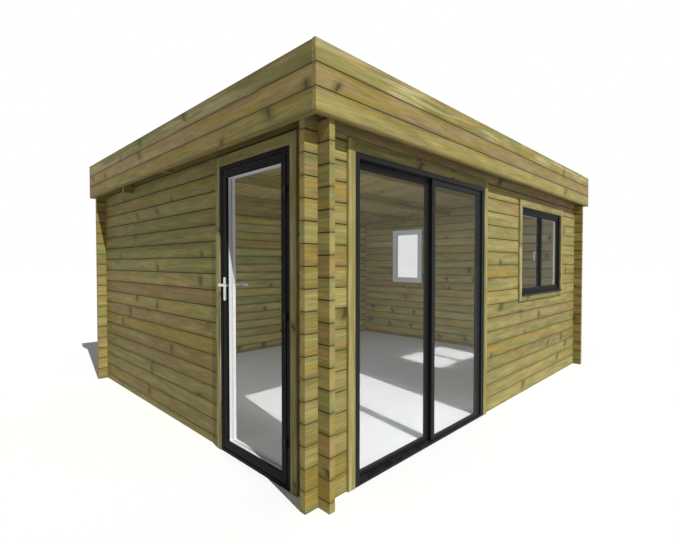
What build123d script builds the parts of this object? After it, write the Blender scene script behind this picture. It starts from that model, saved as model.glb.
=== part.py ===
"""Garden office: a log cabin with crossed corners, a boxed flat roof, one glazed door and a sliding door.

The origin is on the ground at the middle of the plan. X runs along the front wall,
Y runs from the front wall to the back wall, and Z is up. All sizes are in millimetres.
"""

import os
from math import ceil

from build123d import *

os.makedirs("parts", exist_ok=True)

# House, outer wall face to outer wall face
house_length = 5000
house_depth = 4000

# Logs
log_thickness = 44
log_course = 130
log_tail = 100
seam_chamfer = 7
log_fit = 0.3
least_lintel = 20
fall_courses = 2

# Purlins across the house, under the sloping roof deck
purlin_count = 3

# Roof deck, its membrane and the three-board fascia round it
deck_thickness = 19
membrane_thickness = 3
roof_fit = 0.3
fascia_thickness = 30
fascia_drop = 13
fascia_board_heights = (140, 130, 130)
fascia_chamfer = 4
batten_width = 45
batten_gap_below_top = 25
batten_front_count = 5
batten_side_count = 4

# Floor
floor_thickness = 18
floor_fit = 0.3

# Trim boards round every opening
trim_width = 65
trim_thickness = 20
trim_head_height = 75
trim_chamfer = 3

# Door frames stand in front of the logs, almost level with the trim boards round them
frame_proud = 14

# Fits shared by frames, glass and running pieces
frame_fit = 0.5
joint_gap = 0.2
glass_fit = 0.3
seat_gap = 0.3
overrun = 50

# Single door in the left wall, measured from the front wall face
door_from_front = 240
door_width = 856
door_height = 2183
door_frame_depth = 91
door_frame_bar = 33
door_threshold = 24
door_stop_width = 17
door_stop_depth = 12
door_stop_clearance = 5
door_leaf_clearance = 10
door_stile = 52
door_top_rail = 52
door_bottom_rail = 60
door_bead = 4
door_glass_recess = 40
door_glass_thickness = 24

# Door hinges
hinge_count = 3
hinge_radius = 8
hinge_pin_radius = 4
hinge_pin_play = 0.1
hinge_knuckle = 42
hinge_plate = 3
hinge_plate_reach = 32
hinge_end_inset = 250

# Door lever handles
handle_from_free_edge = 28
handle_height = 1285
handle_plate_width = 30
handle_plate_thickness = 8
handle_plate_corner = 7
handle_plate_above = 57
handle_plate_below = 120
handle_neck_radius = 9
handle_neck = 36
handle_lever = 118
handle_lever_width = 20
handle_lever_thickness = 12

# Sliding door in the front wall, measured from the left wall face
slider_from_left = 308
slider_width = 1792
slider_height = 2155
slider_depth = 76
slider_jamb = 44
slider_head = 37
slider_sill = 16
slider_profile = 45
slider_bottom_rail = 30
slider_meeting_stile = 85
slider_panel_thickness = 24
slider_fixed_recess = 14
slider_panel_gap = 6
slider_side_clearance = 5
slider_meeting_offset = 66
slider_bead = 4
slider_glass_thickness = 14
track_width = 6
track_height = 6
runner_length = 60
runner_height = 6
runner_inset = 90

# Casement windows
window_sill_height = 1078
window_height = 1001.5
window_frame_depth = 62
window_frame_bar = 45
window_trim_cover = 12
window_sash_bar = 42
window_meeting_stile = 31
window_sash_recess = 8
window_sash_depth = 48
window_sash_gap = 0.4
window_glass_recess = 16
window_glass_thickness = 24
window_bead = 8
front_window_from_left = 2998
front_window_width = 1330
right_window_from_front = 2571
right_window_width = 665
sill_board_height = 16
sill_board_nose = 9
sill_board_projection = 40
catch_plate_width = 28
catch_plate_height = 70
catch_plate_thickness = 8
catch_plate_corner = 6
catch_neck_radius = 8
catch_neck = 26
catch_lever_length = 110
catch_lever_width = 18
catch_lever_thickness = 11

# Planes and heights that follow from the sizes above. Each wall with a door is split at the first
# seam over that door, and the taller of the two sets the number of whole courses at the eaves.
half_course = log_course / 2
slider_sky = slider_height + frame_fit
door_sky = door_height + frame_fit
window_head = window_sill_height + window_height
left_face = -house_length / 2
right_face = house_length / 2
front_face = -house_depth / 2
back_face = house_depth / 2
front_split = ceil((slider_sky + least_lintel) / log_course)
left_split = ceil((door_sky + least_lintel - half_course) / log_course)
eave_courses = max(front_split, left_split)
back_height = eave_courses * log_course + half_course
front_height = back_height + fall_courses * log_course
roof_fall = (front_height - back_height) / house_depth
fascia_height = sum(fascia_board_heights)
fascia_bottom = back_height - fascia_drop
fascia_top = fascia_bottom + fascia_height
purlin_spacing = house_depth / (purlin_count + 1)


def roof_line(y):
    """Height of the underside of the roof deck at a distance y from the middle of the house."""
    return front_height - (y - front_face) * roof_fall


def block(low, high, mode=Mode.ADD):
    """Box between two opposite corners."""
    size = [b - a for a, b in zip(low, high)]
    middle = tuple((a + b) / 2 for a, b in zip(low, high))
    with Locations(middle):
        Box(*size, mode=mode)


def area(left, right, low, high, mode=Mode.ADD):
    """Rectangle between two opposite corners of a sketch."""
    with Locations(((left + right) / 2, (low + high) / 2)):
        Rectangle(right - left, high - low, mode=mode)


def save(piece, name):
    """Label a finished piece and write it as its own file."""
    piece.label = name
    export_step(piece, f"parts/{name}.step")


# Logs, corner joints and roof slope
def log_outline(bottom, top):
    """Section of one log between two seams, with a chamfer at both upper edges."""
    half = log_thickness / 2
    crest = top - log_fit
    return [
        (-half, bottom),
        (half, bottom),
        (half, crest - seam_chamfer),
        (half - seam_chamfer, crest),
        (-half + seam_chamfer, crest),
        (-half, crest - seam_chamfer),
    ]


def log_section(plane, seams):
    """Sections of the logs between one seam and the next, on a plane across the wall."""
    with BuildSketch(plane) as section:
        for bottom, top in zip(seams, seams[1:]):
            with BuildLine():
                Polyline(*log_outline(bottom, top), close=True)
            make_face()
    return section.sketch


def across_long_wall(x, outer_face, inward):
    """Plane across the front or back wall, facing along X, centred on its logs."""
    return Plane(origin=(x, outer_face + inward * log_thickness / 2, 0), x_dir=(0, 1, 0), z_dir=(1, 0, 0))


def across_side_wall(y, outer_face, inward):
    """Plane across the left or right wall, facing along Y, centred on its logs."""
    return Plane(origin=(outer_face + inward * log_thickness / 2, y, 0), x_dir=(-1, 0, 0), z_dir=(0, 1, 0))


def sky():
    """Section of all that lies above the underside of the roof deck."""
    near = front_face - log_tail - overrun
    far = back_face + log_tail + overrun
    with BuildSketch(Plane.YZ) as section:
        with BuildLine():
            Polyline(
                (near, roof_line(near) - roof_fit),
                (far, roof_line(far) - roof_fit),
                (far, fascia_top + overrun),
                (near, fascia_top + overrun),
                close=True,
            )
        make_face()
    return section.sketch


def cut_to_roof():
    """Trim the logs of the piece in hand to the slope of the roof."""
    extrude(sky(), amount=house_length, both=True, mode=Mode.SUBTRACT)


def corner_laps(centres, first_seam, seam_count):
    """Cut the cross laps: each log keeps the middle half of its height where walls cross."""
    lap = log_thickness + 2 * log_fit
    heights = [first_seam + number * log_course for number in range(seam_count + 1)]
    with Locations(*[(x, y, height) for x, y in centres for height in heights]):
        Box(lap, lap, half_course + log_fit, mode=Mode.SUBTRACT)


def corners(x_faces, y_faces):
    """Middles of the squares where the walls at these outer faces cross."""
    inset = log_thickness / 2
    xs = [x + inset if x < 0 else x - inset for x in x_faces]
    ys = [y + inset if y < 0 else y - inset for y in y_faces]
    return [(x, y) for x in xs for y in ys]


purlin_places = [front_face + (number + 1) * purlin_spacing for number in range(purlin_count)]


def purlin_pockets():
    """Cut the slots that let the purlins down into the tops of the side walls."""
    half = log_thickness / 2 + log_fit
    for y in purlin_places:
        low = (left_face - log_tail - overrun, y - half, roof_line(y) - log_course - log_fit)
        high = (right_face + log_tail + overrun, y + half, fascia_top)
        block(low, high, mode=Mode.SUBTRACT)


def long_seams(first, last):
    """Seam heights of the front and back walls from one course to another."""
    return [number * log_course for number in range(first, last + 1)]


def side_seams(first, last):
    """Seam heights of the side walls, half a course above those of the long walls."""
    return [half_course + number * log_course for number in range(first, last + 1)]


front_seam_count = eave_courses + fall_courses

door_face = left_face - frame_proud
slider_face = front_face - frame_proud
slider_left = left_face + slider_from_left
slider_right = slider_left + slider_width
door_near = front_face + door_from_front
door_far = door_near + door_width
front_window_left = left_face + front_window_from_left
front_window_right = front_window_left + front_window_width
right_window_near = front_face + right_window_from_front
right_window_far = right_window_near + right_window_width


def cut_front_window():
    """Cut the opening of the front window through the piece in hand."""
    low = (front_window_left - frame_fit, front_face - overrun, window_sill_height - frame_fit)
    high = (front_window_right + frame_fit, front_face + log_thickness + overrun, window_head + frame_fit)
    block(low, high, mode=Mode.SUBTRACT)


def cut_right_window():
    """Cut the opening of the right window through the piece in hand."""
    inner_face = right_face - log_thickness
    low = (inner_face - overrun, right_window_near - frame_fit, window_sill_height - frame_fit)
    high = (right_face + overrun, right_window_far + frame_fit, window_head + frame_fit)
    block(low, high, mode=Mode.SUBTRACT)


# Front wall beside the sliding door, at the left corner
with BuildPart() as front_wall_left:
    start = left_face - log_tail
    plane = across_long_wall(start, front_face, 1)
    extrude(log_section(plane, long_seams(0, front_split)), amount=slider_left - frame_fit - start)
    corner_laps(corners([left_face], [front_face]), 0, front_seam_count)
save(front_wall_left.part, "front_wall_left")

# Front wall over the sliding door
with BuildPart() as front_wall_over_sliding_door:
    plane = across_long_wall(slider_left - frame_fit, front_face, 1)
    lintel = [slider_sky, front_split * log_course]
    extrude(log_section(plane, lintel), amount=slider_width + 2 * frame_fit)
save(front_wall_over_sliding_door.part, "front_wall_over_sliding_door")

# Front wall from the sliding door to the right corner, cut for the window
with BuildPart() as front_wall_right:
    start = slider_right + frame_fit
    plane = across_long_wall(start, front_face, 1)
    extrude(log_section(plane, long_seams(0, front_split)), amount=right_face + log_tail - start)
    corner_laps(corners([right_face], [front_face]), 0, front_seam_count)
    cut_front_window()
save(front_wall_right.part, "front_wall_right")

# Long logs of the front wall above the openings
with BuildPart() as front_wall_top:
    plane = across_long_wall(left_face - log_tail, front_face, 1)
    seams = long_seams(front_split, front_seam_count) + [front_height + half_course]
    extrude(log_section(plane, seams), amount=house_length + 2 * log_tail)
    corner_laps(corners([left_face, right_face], [front_face]), 0, front_seam_count)
    cut_front_window()
    cut_to_roof()
save(front_wall_top.part, "front_wall_top")

# Back wall, whole logs with a half log on top
with BuildPart() as back_wall:
    plane = across_long_wall(left_face - log_tail, back_face, -1)
    seams = long_seams(0, eave_courses) + [back_height + half_course]
    extrude(log_section(plane, seams), amount=house_length + 2 * log_tail)
    corner_laps(corners([left_face, right_face], [back_face]), 0, eave_courses)
    cut_to_roof()
save(back_wall.part, "back_wall")

# Left wall between the front corner and the single door
with BuildPart() as left_wall_front:
    start = front_face - log_tail
    plane = across_side_wall(start, left_face, 1)
    seams = [0] + side_seams(0, left_split)
    extrude(log_section(plane, seams), amount=door_near - frame_fit - start)
    corner_laps(corners([left_face], [front_face]), half_course, front_seam_count)
save(left_wall_front.part, "left_wall_front")

# Left wall over the single door
with BuildPart() as left_wall_over_door:
    plane = across_side_wall(door_near - frame_fit, left_face, 1)
    lintel = [door_sky, half_course + left_split * log_course]
    extrude(log_section(plane, lintel), amount=door_width + 2 * frame_fit)
save(left_wall_over_door.part, "left_wall_over_door")

# Left wall from the single door to the back corner. Under the eaves, whole logs over a lower door
# would run on to the front corner.
with BuildPart() as left_wall_rear:
    start = door_far + frame_fit
    plane = across_side_wall(start, left_face, 1)
    seams = [0] + side_seams(0, left_split)
    extrude(log_section(plane, seams), amount=back_face + log_tail - start)
    if eave_courses > left_split:
        plane = across_side_wall(front_face - log_tail, left_face, 1)
        seams = side_seams(left_split, eave_courses)
        extrude(log_section(plane, seams), amount=house_depth + 2 * log_tail)
    corner_laps(corners([left_face], [front_face, back_face]), half_course, eave_courses)
    purlin_pockets()
    cut_to_roof()
save(left_wall_rear.part, "left_wall_rear")

# Right wall, cut for its window
with BuildPart() as right_wall:
    start = front_face - log_tail
    plane = across_side_wall(start, right_face, -1)
    seams = [0] + side_seams(0, eave_courses)
    extrude(log_section(plane, seams), amount=house_depth + 2 * log_tail)
    corner_laps(corners([right_face], [front_face, back_face]), half_course, front_seam_count)
    cut_right_window()
    purlin_pockets()
    cut_to_roof()
save(right_wall.part, "right_wall")


def side_wall_top(outer_face, inward):
    """Top logs of a side wall, tapered by the roof, from the eaves up."""
    with BuildPart() as top:
        start = front_face - log_tail
        plane = across_side_wall(start, outer_face, inward)
        seams = side_seams(eave_courses, front_seam_count - 1) + [front_height + log_course]
        extrude(log_section(plane, seams), amount=house_depth + 2 * log_tail)
        corner_laps(corners([outer_face], [front_face, back_face]), half_course, front_seam_count)
        purlin_pockets()
        cut_to_roof()
    return top.part


save(side_wall_top(left_face, 1), "left_wall_top")
save(side_wall_top(right_face, -1), "right_wall_top")

# Purlins, one log each, with their tops cut to the slope
with BuildPart() as purlins:
    for y in purlin_places:
        centre = across_long_wall(left_face - log_tail, y - log_thickness / 2, 1)
        bottom = roof_line(y) - log_course
        extrude(log_section(centre, [bottom, bottom + 2 * log_course]), amount=house_length + 2 * log_tail)
    cut_to_roof()
save(purlins.part, "purlins")


def sloping_sheet(height_above_line, thickness):
    """Sheet parallel to the roof line that fills the plan inside the fascia."""
    near = front_face - log_tail + roof_fit
    far = back_face + log_tail - roof_fit
    with BuildPart() as sheet:
        with BuildSketch(Plane.YZ):
            with BuildLine():
                Polyline(
                    (near, roof_line(near) + height_above_line),
                    (far, roof_line(far) + height_above_line),
                    (far, roof_line(far) + height_above_line + thickness),
                    (near, roof_line(near) + height_above_line + thickness),
                    close=True,
                )
            make_face()
        extrude(amount=house_length / 2 + log_tail - roof_fit, both=True)
    return sheet.part


save(sloping_sheet(0, deck_thickness), "roof_deck")
save(sloping_sheet(deck_thickness + roof_fit, membrane_thickness), "roof_membrane")


def fascia(low_corner, high_corner, long_axis):
    """Three boards one over the other, each with softened long edges."""
    with BuildPart() as boards:
        bottom = fascia_bottom
        for height in fascia_board_heights:
            block((*low_corner, bottom), (*high_corner, bottom + height - joint_gap))
            bottom += height
        chamfer(boards.edges().filter_by(long_axis), length=fascia_chamfer)
    return boards.part


reach_x = house_length / 2 + log_tail
reach_y = house_depth / 2 + log_tail
outer_x = reach_x + fascia_thickness
outer_y = reach_y + fascia_thickness
save(fascia((-outer_x, -outer_y), (outer_x, -reach_y), Axis.X), "fascia_front")
save(fascia((-outer_x, reach_y), (outer_x, outer_y), Axis.X), "fascia_back")
save(fascia((-outer_x, -reach_y + joint_gap), (-reach_x, reach_y - joint_gap), Axis.Y), "fascia_left")
save(fascia((reach_x, -reach_y + joint_gap), (outer_x, reach_y - joint_gap), Axis.Y), "fascia_right")

# Uprights on the roof that the fascia boards are fixed to
with BuildPart() as fascia_battens:
    batten_x = reach_x - batten_width / 2 - roof_fit
    batten_y = reach_y - batten_width / 2 - roof_fit
    front_step = 2 * batten_x / (batten_front_count - 1)
    side_step = 2 * batten_y / (batten_side_count + 1)
    along_x = [-batten_x + number * front_step for number in range(batten_front_count)]
    along_y = [-batten_y + (number + 1) * side_step for number in range(batten_side_count)]
    places = [(x, y) for x in along_x for y in (-batten_y, batten_y)]
    places += [(x, y) for x in (-batten_x, batten_x) for y in along_y]
    half = batten_width / 2
    for x, y in places:
        block((x - half, y - half, fascia_bottom), (x + half, y + half, fascia_top - batten_gap_below_top))
    lift = deck_thickness + membrane_thickness + 2 * roof_fit
    near = front_face - log_tail - overrun
    far = back_face + log_tail + overrun
    with BuildSketch(Plane.YZ) as under_roof:
        with BuildLine():
            Polyline(
                (near, roof_line(near) + lift),
                (far, roof_line(far) + lift),
                (far, fascia_bottom - overrun),
                (near, fascia_bottom - overrun),
                close=True,
            )
        make_face()
    extrude(amount=house_length, both=True, mode=Mode.SUBTRACT)
save(fascia_battens.part, "fascia_battens")

# Floor inside the walls, cut round the door frames
with BuildPart() as floor_boards:
    inset = log_thickness + floor_fit
    low = (left_face + inset, front_face + inset, 0)
    high = (right_face - inset, back_face - inset, floor_thickness)
    block(low, high)
    block(
        (left_face, door_near - frame_fit, -overrun),
        (door_face + door_frame_depth + floor_fit, door_far + frame_fit, floor_thickness + overrun),
        mode=Mode.SUBTRACT,
    )
    block(
        (slider_left - frame_fit, front_face, -overrun),
        (slider_right + frame_fit, slider_face + slider_depth + floor_fit, floor_thickness + overrun),
        mode=Mode.SUBTRACT,
    )
save(floor_boards.part, "floor")


# Frames, sashes and panes stand on planes along a wall, seen in X or Y and in Z
def front_plane(inset):
    """Plane along the front wall, set back from its outer face; X runs right and the depth is negative."""
    return Plane(origin=(0, front_face + inset, 0), x_dir=(1, 0, 0), z_dir=(0, -1, 0))


def left_plane(inset):
    """Plane along the left wall, set back from its outer face; the depth is positive."""
    return Plane(origin=(left_face + inset, 0, 0), x_dir=(0, 1, 0), z_dir=(1, 0, 0))


def right_plane(inset):
    """Plane along the right wall, set back from its outer face; the depth is negative."""
    return Plane(origin=(right_face - inset, 0, 0), x_dir=(0, 1, 0), z_dir=(1, 0, 0))


def ring(plane, depth, outer, bars):
    """Welded frame: outer is left, right, low, high, and bars are the widths of the same four sides."""
    left, right, low, high = outer
    left_bar, right_bar, low_bar, high_bar = bars
    with BuildPart() as welded:
        with BuildSketch(plane):
            area(left, right, low, high)
            area(left + left_bar, right - right_bar, low + low_bar, high - high_bar, Mode.SUBTRACT)
        extrude(amount=depth)
    return welded.part


def outer_faces(piece, plane, depth):
    """Faces of a piece that lie on the weather side of the plane it was drawn on."""
    layers = piece.faces().group_by(Axis(plane.origin, plane.z_dir))
    return layers[0] if depth > 0 else layers[-1]


def beaded_ring(plane, depth, outer, bars, bead):
    """Welded frame with a sloping glazing bead round its hole on the weather side."""
    with BuildPart() as welded:
        add(ring(plane, depth, outer, bars))
        sight_edges = outer_faces(welded, plane, depth)[0].inner_wires().edges()
        chamfer(sight_edges, length=bead)
    return welded.part


def pane(plane, depth, outer, bars):
    """Pane of glass that fills the hole of a ring."""
    left, right, low, high = outer
    left_bar, right_bar, low_bar, high_bar = bars
    with BuildPart() as glass:
        with BuildSketch(plane):
            area(
                left + left_bar + glass_fit,
                right - right_bar - glass_fit,
                low + low_bar + glass_fit,
                high - high_bar - glass_fit,
            )
        extrude(amount=depth)
    return glass.part


def bars_round(plane, depth, outer, bars):
    """Frame of four square bars: two full-height sides, with the low and high bars between them."""
    left, right, low, high = outer
    left_bar, right_bar, low_bar, high_bar = bars
    inner_left = left + left_bar + joint_gap
    inner_right = right - right_bar - joint_gap
    with BuildPart() as frame:
        with BuildSketch(plane):
            area(left, left + left_bar, low, high)
            area(right - right_bar, right, low, high)
            if low_bar:
                area(inner_left, inner_right, low, low + low_bar)
            area(inner_left, inner_right, high - high_bar, high)
        extrude(amount=depth)
    return frame.part


def trim(plane, depth, opening, bottom):
    """Boards on the wall round an opening; with a bottom board where one is wanted."""
    left, right, low, high = opening
    outer = (left - trim_width, right + trim_width, low - bottom, high + trim_head_height)
    with BuildPart() as boards:
        add(bars_round(plane, depth, outer, (trim_width, trim_width, bottom, trim_head_height)))
        chamfer(outer_faces(boards, plane, depth).edges(), length=trim_chamfer)
    return boards.part


# Single door: frame with its stop, leaf and glass
door_outer = (door_near, door_far, 0, door_height)
door_bars = (door_frame_bar, door_frame_bar, door_threshold, door_frame_bar)
stop_outer = (
    door_near + door_frame_bar + joint_gap,
    door_far - door_frame_bar - joint_gap,
    door_threshold + joint_gap,
    door_height - door_frame_bar - joint_gap,
)
stop_bars = (door_stop_width, door_stop_width, door_stop_width, door_stop_width)
leaf_depth = door_frame_depth - door_stop_depth - door_stop_clearance
stop_inset = leaf_depth + door_stop_clearance - frame_proud
with BuildPart() as door_frame:
    add(bars_round(left_plane(-frame_proud), door_frame_depth, door_outer, door_bars))
    add(bars_round(left_plane(stop_inset), door_stop_depth, stop_outer, stop_bars))
save(door_frame.part, "door_frame")

leaf_edge = door_frame_bar + door_leaf_clearance
leaf_outer = (
    door_near + leaf_edge,
    door_far - leaf_edge,
    door_threshold + door_leaf_clearance,
    door_height - leaf_edge,
)
leaf_bars = (door_stile, door_stile, door_bottom_rail, door_top_rail)
save(beaded_ring(left_plane(-frame_proud), leaf_depth, leaf_outer, leaf_bars, door_bead), "door_leaf")
glass_inset = door_glass_recess - frame_proud
save(pane(left_plane(glass_inset), door_glass_thickness, leaf_outer, leaf_bars), "door_glass")

door_opening = (
    door_near - joint_gap,
    door_far + joint_gap,
    0,
    door_height + joint_gap,
)
save(trim(left_plane(-trim_thickness), trim_thickness, door_opening, 0), "door_trim")

# Hinges on the outside of the near jamb, turning about one upright line
hinge_x = door_face - hinge_radius
hinge_y = door_near + door_frame_bar + door_leaf_clearance / 2
hinge_top = leaf_outer[3] - hinge_end_inset
hinge_low = leaf_outer[2] + hinge_end_inset
hinge_step = (hinge_top - hinge_low) / (hinge_count - 1)
hinge_heights = [hinge_low + number * hinge_step for number in range(hinge_count)]
plate_start = door_face - hinge_plate

with BuildPart() as door_hinge_pins:
    for height in hinge_heights:
        with BuildSketch(Plane.XY.offset(height - hinge_knuckle)):
            with Locations((hinge_x, hinge_y)):
                Circle(hinge_radius)
            area(plate_start, plate_start + hinge_plate, hinge_y - hinge_plate_reach, hinge_y)
        extrude(amount=hinge_knuckle - seat_gap)
        with BuildSketch(Plane.XY.offset(height - seat_gap)):
            with Locations((hinge_x, hinge_y)):
                Circle(hinge_pin_radius)
        extrude(amount=hinge_knuckle)
save(door_hinge_pins.part, "door_hinge_pins")

with BuildPart() as door_hinge_knuckles:
    for height in hinge_heights:
        with BuildSketch(Plane.XY.offset(height)):
            with Locations((hinge_x, hinge_y)):
                Circle(hinge_radius)
            area(plate_start, plate_start + hinge_plate, hinge_y, hinge_y + hinge_plate_reach)
            with Locations((hinge_x, hinge_y)):
                Circle(hinge_pin_radius + hinge_pin_play, mode=Mode.SUBTRACT)
        extrude(amount=hinge_knuckle)
save(door_hinge_knuckles.part, "door_hinge_knuckles")


def lever_handle(face_x, outward):
    """Long plate with a lever on a round neck, on one face of the leaf."""
    y = leaf_outer[1] - handle_from_free_edge
    plate_face = face_x + outward * handle_plate_thickness
    lever_face = plate_face + outward * handle_neck
    with BuildPart() as handle:
        with BuildSketch(Plane(origin=(face_x, y, 0), x_dir=(0, 1, 0), z_dir=(1, 0, 0))):
            half = handle_plate_width / 2
            area(-half, half, handle_height - handle_plate_below, handle_height + handle_plate_above)
        extrude(amount=outward * handle_plate_thickness)
        chamfer(handle.edges().filter_by(Axis.X), length=handle_plate_corner)
        with BuildSketch(Plane(origin=(plate_face, y, handle_height), x_dir=(0, 1, 0), z_dir=(1, 0, 0))):
            Circle(handle_neck_radius)
        extrude(amount=outward * handle_neck)
        with BuildSketch(Plane(origin=(lever_face, y, handle_height), x_dir=(0, 1, 0), z_dir=(1, 0, 0))):
            reach = handle_lever / 2
            with Locations((handle_lever_width / 2 - reach, 0)):
                SlotOverall(handle_lever, handle_lever_width)
        extrude(amount=outward * handle_lever_thickness)
    return handle.part


save(lever_handle(door_face, -1), "door_handle_outside")
save(lever_handle(door_face + leaf_depth, 1), "door_handle_inside")

# Sliding door: frame, a fixed panel in the outer track and a moving panel in the inner track
slider_outer = (slider_left, slider_right, 0, slider_height)
slider_bars = (slider_jamb, slider_jamb, slider_sill, slider_head)

meeting_edge = (slider_left + slider_right) / 2 + slider_meeting_offset
fixed_outer = (
    meeting_edge - slider_profile,
    slider_right - slider_jamb - joint_gap,
    slider_sill + joint_gap,
    slider_height - slider_head - joint_gap,
)
fixed_bars = (slider_profile, slider_profile, slider_bottom_rail, slider_profile)
fixed_inset = slider_fixed_recess - frame_proud
fixed_glass_inset = fixed_inset + (slider_panel_thickness - slider_glass_thickness) / 2
fixed_plane = front_plane(fixed_inset)
fixed_panel = beaded_ring(fixed_plane, -slider_panel_thickness, fixed_outer, fixed_bars, slider_bead)
save(fixed_panel, "sliding_door_fixed_panel")
fixed_glass = pane(front_plane(fixed_glass_inset), -slider_glass_thickness, fixed_outer, fixed_bars)
save(fixed_glass, "sliding_door_fixed_glass")

moving_inset = fixed_inset + slider_panel_thickness + slider_panel_gap
track_top = slider_sill + joint_gap + track_height
moving_outer = (
    slider_left + slider_jamb + slider_side_clearance,
    meeting_edge,
    track_top + seat_gap + runner_height,
    slider_height - slider_head - slider_panel_gap,
)
moving_bars = (slider_profile, slider_meeting_stile, slider_bottom_rail, slider_profile)
moving_glass_inset = moving_inset + (slider_panel_thickness - slider_glass_thickness) / 2
moving_plane = front_plane(moving_inset)
moving_panel = beaded_ring(moving_plane, -slider_panel_thickness, moving_outer, moving_bars, slider_bead)
save(moving_panel, "sliding_door_moving_panel")
moving_glass = pane(front_plane(moving_glass_inset), -slider_glass_thickness, moving_outer, moving_bars)
save(moving_glass, "sliding_door_moving_glass")

track_y = front_face + moving_inset + slider_panel_thickness / 2
track_left = slider_left + slider_jamb + joint_gap
track_right = slider_right - slider_jamb - joint_gap
with BuildPart() as sliding_door_frame:
    add(bars_round(front_plane(-frame_proud), -slider_depth, slider_outer, slider_bars))
    half = track_width / 2
    block((track_left, track_y - half, slider_sill + joint_gap), (track_right, track_y + half, track_top))
save(sliding_door_frame.part, "sliding_door_frame")

with BuildPart() as sliding_door_runners:
    half = track_width / 2
    low = track_top + seat_gap
    for x in (moving_outer[0] + runner_inset, moving_outer[1] - runner_inset - runner_length):
        block((x, track_y - half, low), (x + runner_length, track_y + half, low + runner_height))
save(sliding_door_runners.part, "sliding_door_runners")

slider_opening = (
    slider_left - joint_gap,
    slider_right + joint_gap,
    0,
    slider_height + joint_gap,
)
save(trim(front_plane(-trim_thickness), -trim_thickness, slider_opening, 0), "sliding_door_trim")


def sash_outers(left, right, count):
    """Outlines of the sashes that stand side by side inside a window frame."""
    inner_left = left + window_frame_bar + window_sash_gap
    inner_right = right - window_frame_bar - window_sash_gap
    low = window_sill_height + window_frame_bar + window_sash_gap
    high = window_head - window_frame_bar - window_sash_gap
    width = (inner_right - inner_left - (count - 1) * window_sash_gap) / count
    starts = [inner_left + number * (width + window_sash_gap) for number in range(count)]
    return [(start, start + width, low, high) for start in starts]


def sash_bars(number, count):
    """Bar widths of one sash: a narrow stile where two sashes meet."""
    left_bar = window_meeting_stile if number > 0 else window_sash_bar
    right_bar = window_meeting_stile if number < count - 1 else window_sash_bar
    return (left_bar, right_bar, window_sash_bar, window_sash_bar)


def sill_board(plane, outward, opening):
    """Sloping sill that stands proud of the frame between the side trims."""
    left, right, low, _ = opening
    corner = plane.from_local_coords((left + joint_gap, low + joint_gap, 0))
    across = Plane(origin=corner, x_dir=plane.z_dir * outward, z_dir=plane.x_dir * -1)
    with BuildPart() as sill:
        with BuildSketch(across):
            with BuildLine():
                Polyline(
                    (joint_gap, 0),
                    (sill_board_projection, 0),
                    (sill_board_projection, sill_board_nose),
                    (joint_gap, sill_board_height),
                    close=True,
                )
            make_face()
        extrude(amount=left - right + 2 * joint_gap)
    return sill.part


def window_set(name, plane_at, inward, left, right, count):
    """Frame, sashes, panes, sill board and trim of a casement window."""
    outer = (left, right, window_sill_height, window_head)
    bars = (window_frame_bar, window_frame_bar, window_frame_bar, window_frame_bar)
    save(ring(plane_at(0), inward * window_frame_depth, outer, bars), f"{name}_frame")
    outlines = sash_outers(left, right, count)
    with BuildPart() as sashes:
        for number, outline in enumerate(outlines):
            widths = sash_bars(number, count)
            depth = inward * window_sash_depth
            add(beaded_ring(plane_at(window_sash_recess), depth, outline, widths, window_bead))
    save(sashes.part, f"{name}_sashes")
    glass_inset = window_sash_recess + window_glass_recess
    with BuildPart() as panes:
        for number, outline in enumerate(outlines):
            widths = sash_bars(number, count)
            add(pane(plane_at(glass_inset), inward * window_glass_thickness, outline, widths))
    save(panes.part, f"{name}_glass")
    opening = (
        left + window_trim_cover,
        right - window_trim_cover,
        window_sill_height + window_trim_cover,
        window_head - window_trim_cover,
    )
    boards = trim(plane_at(-trim_thickness), inward * trim_thickness, opening, trim_width)
    save(boards, f"{name}_trim")
    save(sill_board(plane_at(0), -inward, opening), f"{name}_sill")


window_set("front_window", front_plane, -1, front_window_left, front_window_right, 2)
window_set("right_window", right_plane, -1, right_window_near, right_window_far, 1)


def window_catch(plane, inward):
    """Turn handle of a casement: a small plate, a neck and a hanging lever."""
    with BuildPart() as catch:
        with BuildSketch(plane):
            plate = Rectangle(catch_plate_width, catch_plate_height)
            chamfer(plate.vertices(), length=catch_plate_corner)
        extrude(amount=inward * catch_plate_thickness)
        with BuildSketch(plane):
            Circle(catch_neck_radius)
        extrude(amount=inward * (catch_plate_thickness + catch_neck))
        with BuildSketch(plane.offset(inward * (catch_plate_thickness + catch_neck))):
            with Locations((0, catch_lever_width / 2 - catch_lever_length / 2)):
                SlotOverall(catch_lever_length, catch_lever_width, rotation=90)
        extrude(amount=inward * catch_lever_thickness)
    return catch.part


catch_height = (window_sill_height + window_head) / 2
catch_inset = window_sash_recess + window_sash_depth
front_catch_x = (front_window_left + front_window_right + window_meeting_stile) / 2
front_catch_place = (front_catch_x, front_face + catch_inset, catch_height)
front_catch = Plane(origin=front_catch_place, x_dir=(1, 0, 0), z_dir=(0, -1, 0))
save(window_catch(front_catch, -1), "front_window_handle")
right_catch_y = right_window_far - window_frame_bar - window_sash_bar / 2
right_catch_place = (right_face - catch_inset, right_catch_y, catch_height)
right_catch = Plane(origin=right_catch_place, x_dir=(0, 1, 0), z_dir=(1, 0, 0))
save(window_catch(right_catch, -1), "right_window_handle")
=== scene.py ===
"""Dresses the garden office: pine logs, a boarded roof, glazed doors and windows, and a plain stage.

The file is laid out as an add-on. Property groups hold the sizes and colours, each operator finishes one
group of pieces, and main() calls the operators in order. All lengths are in metres.
"""

import math

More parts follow.
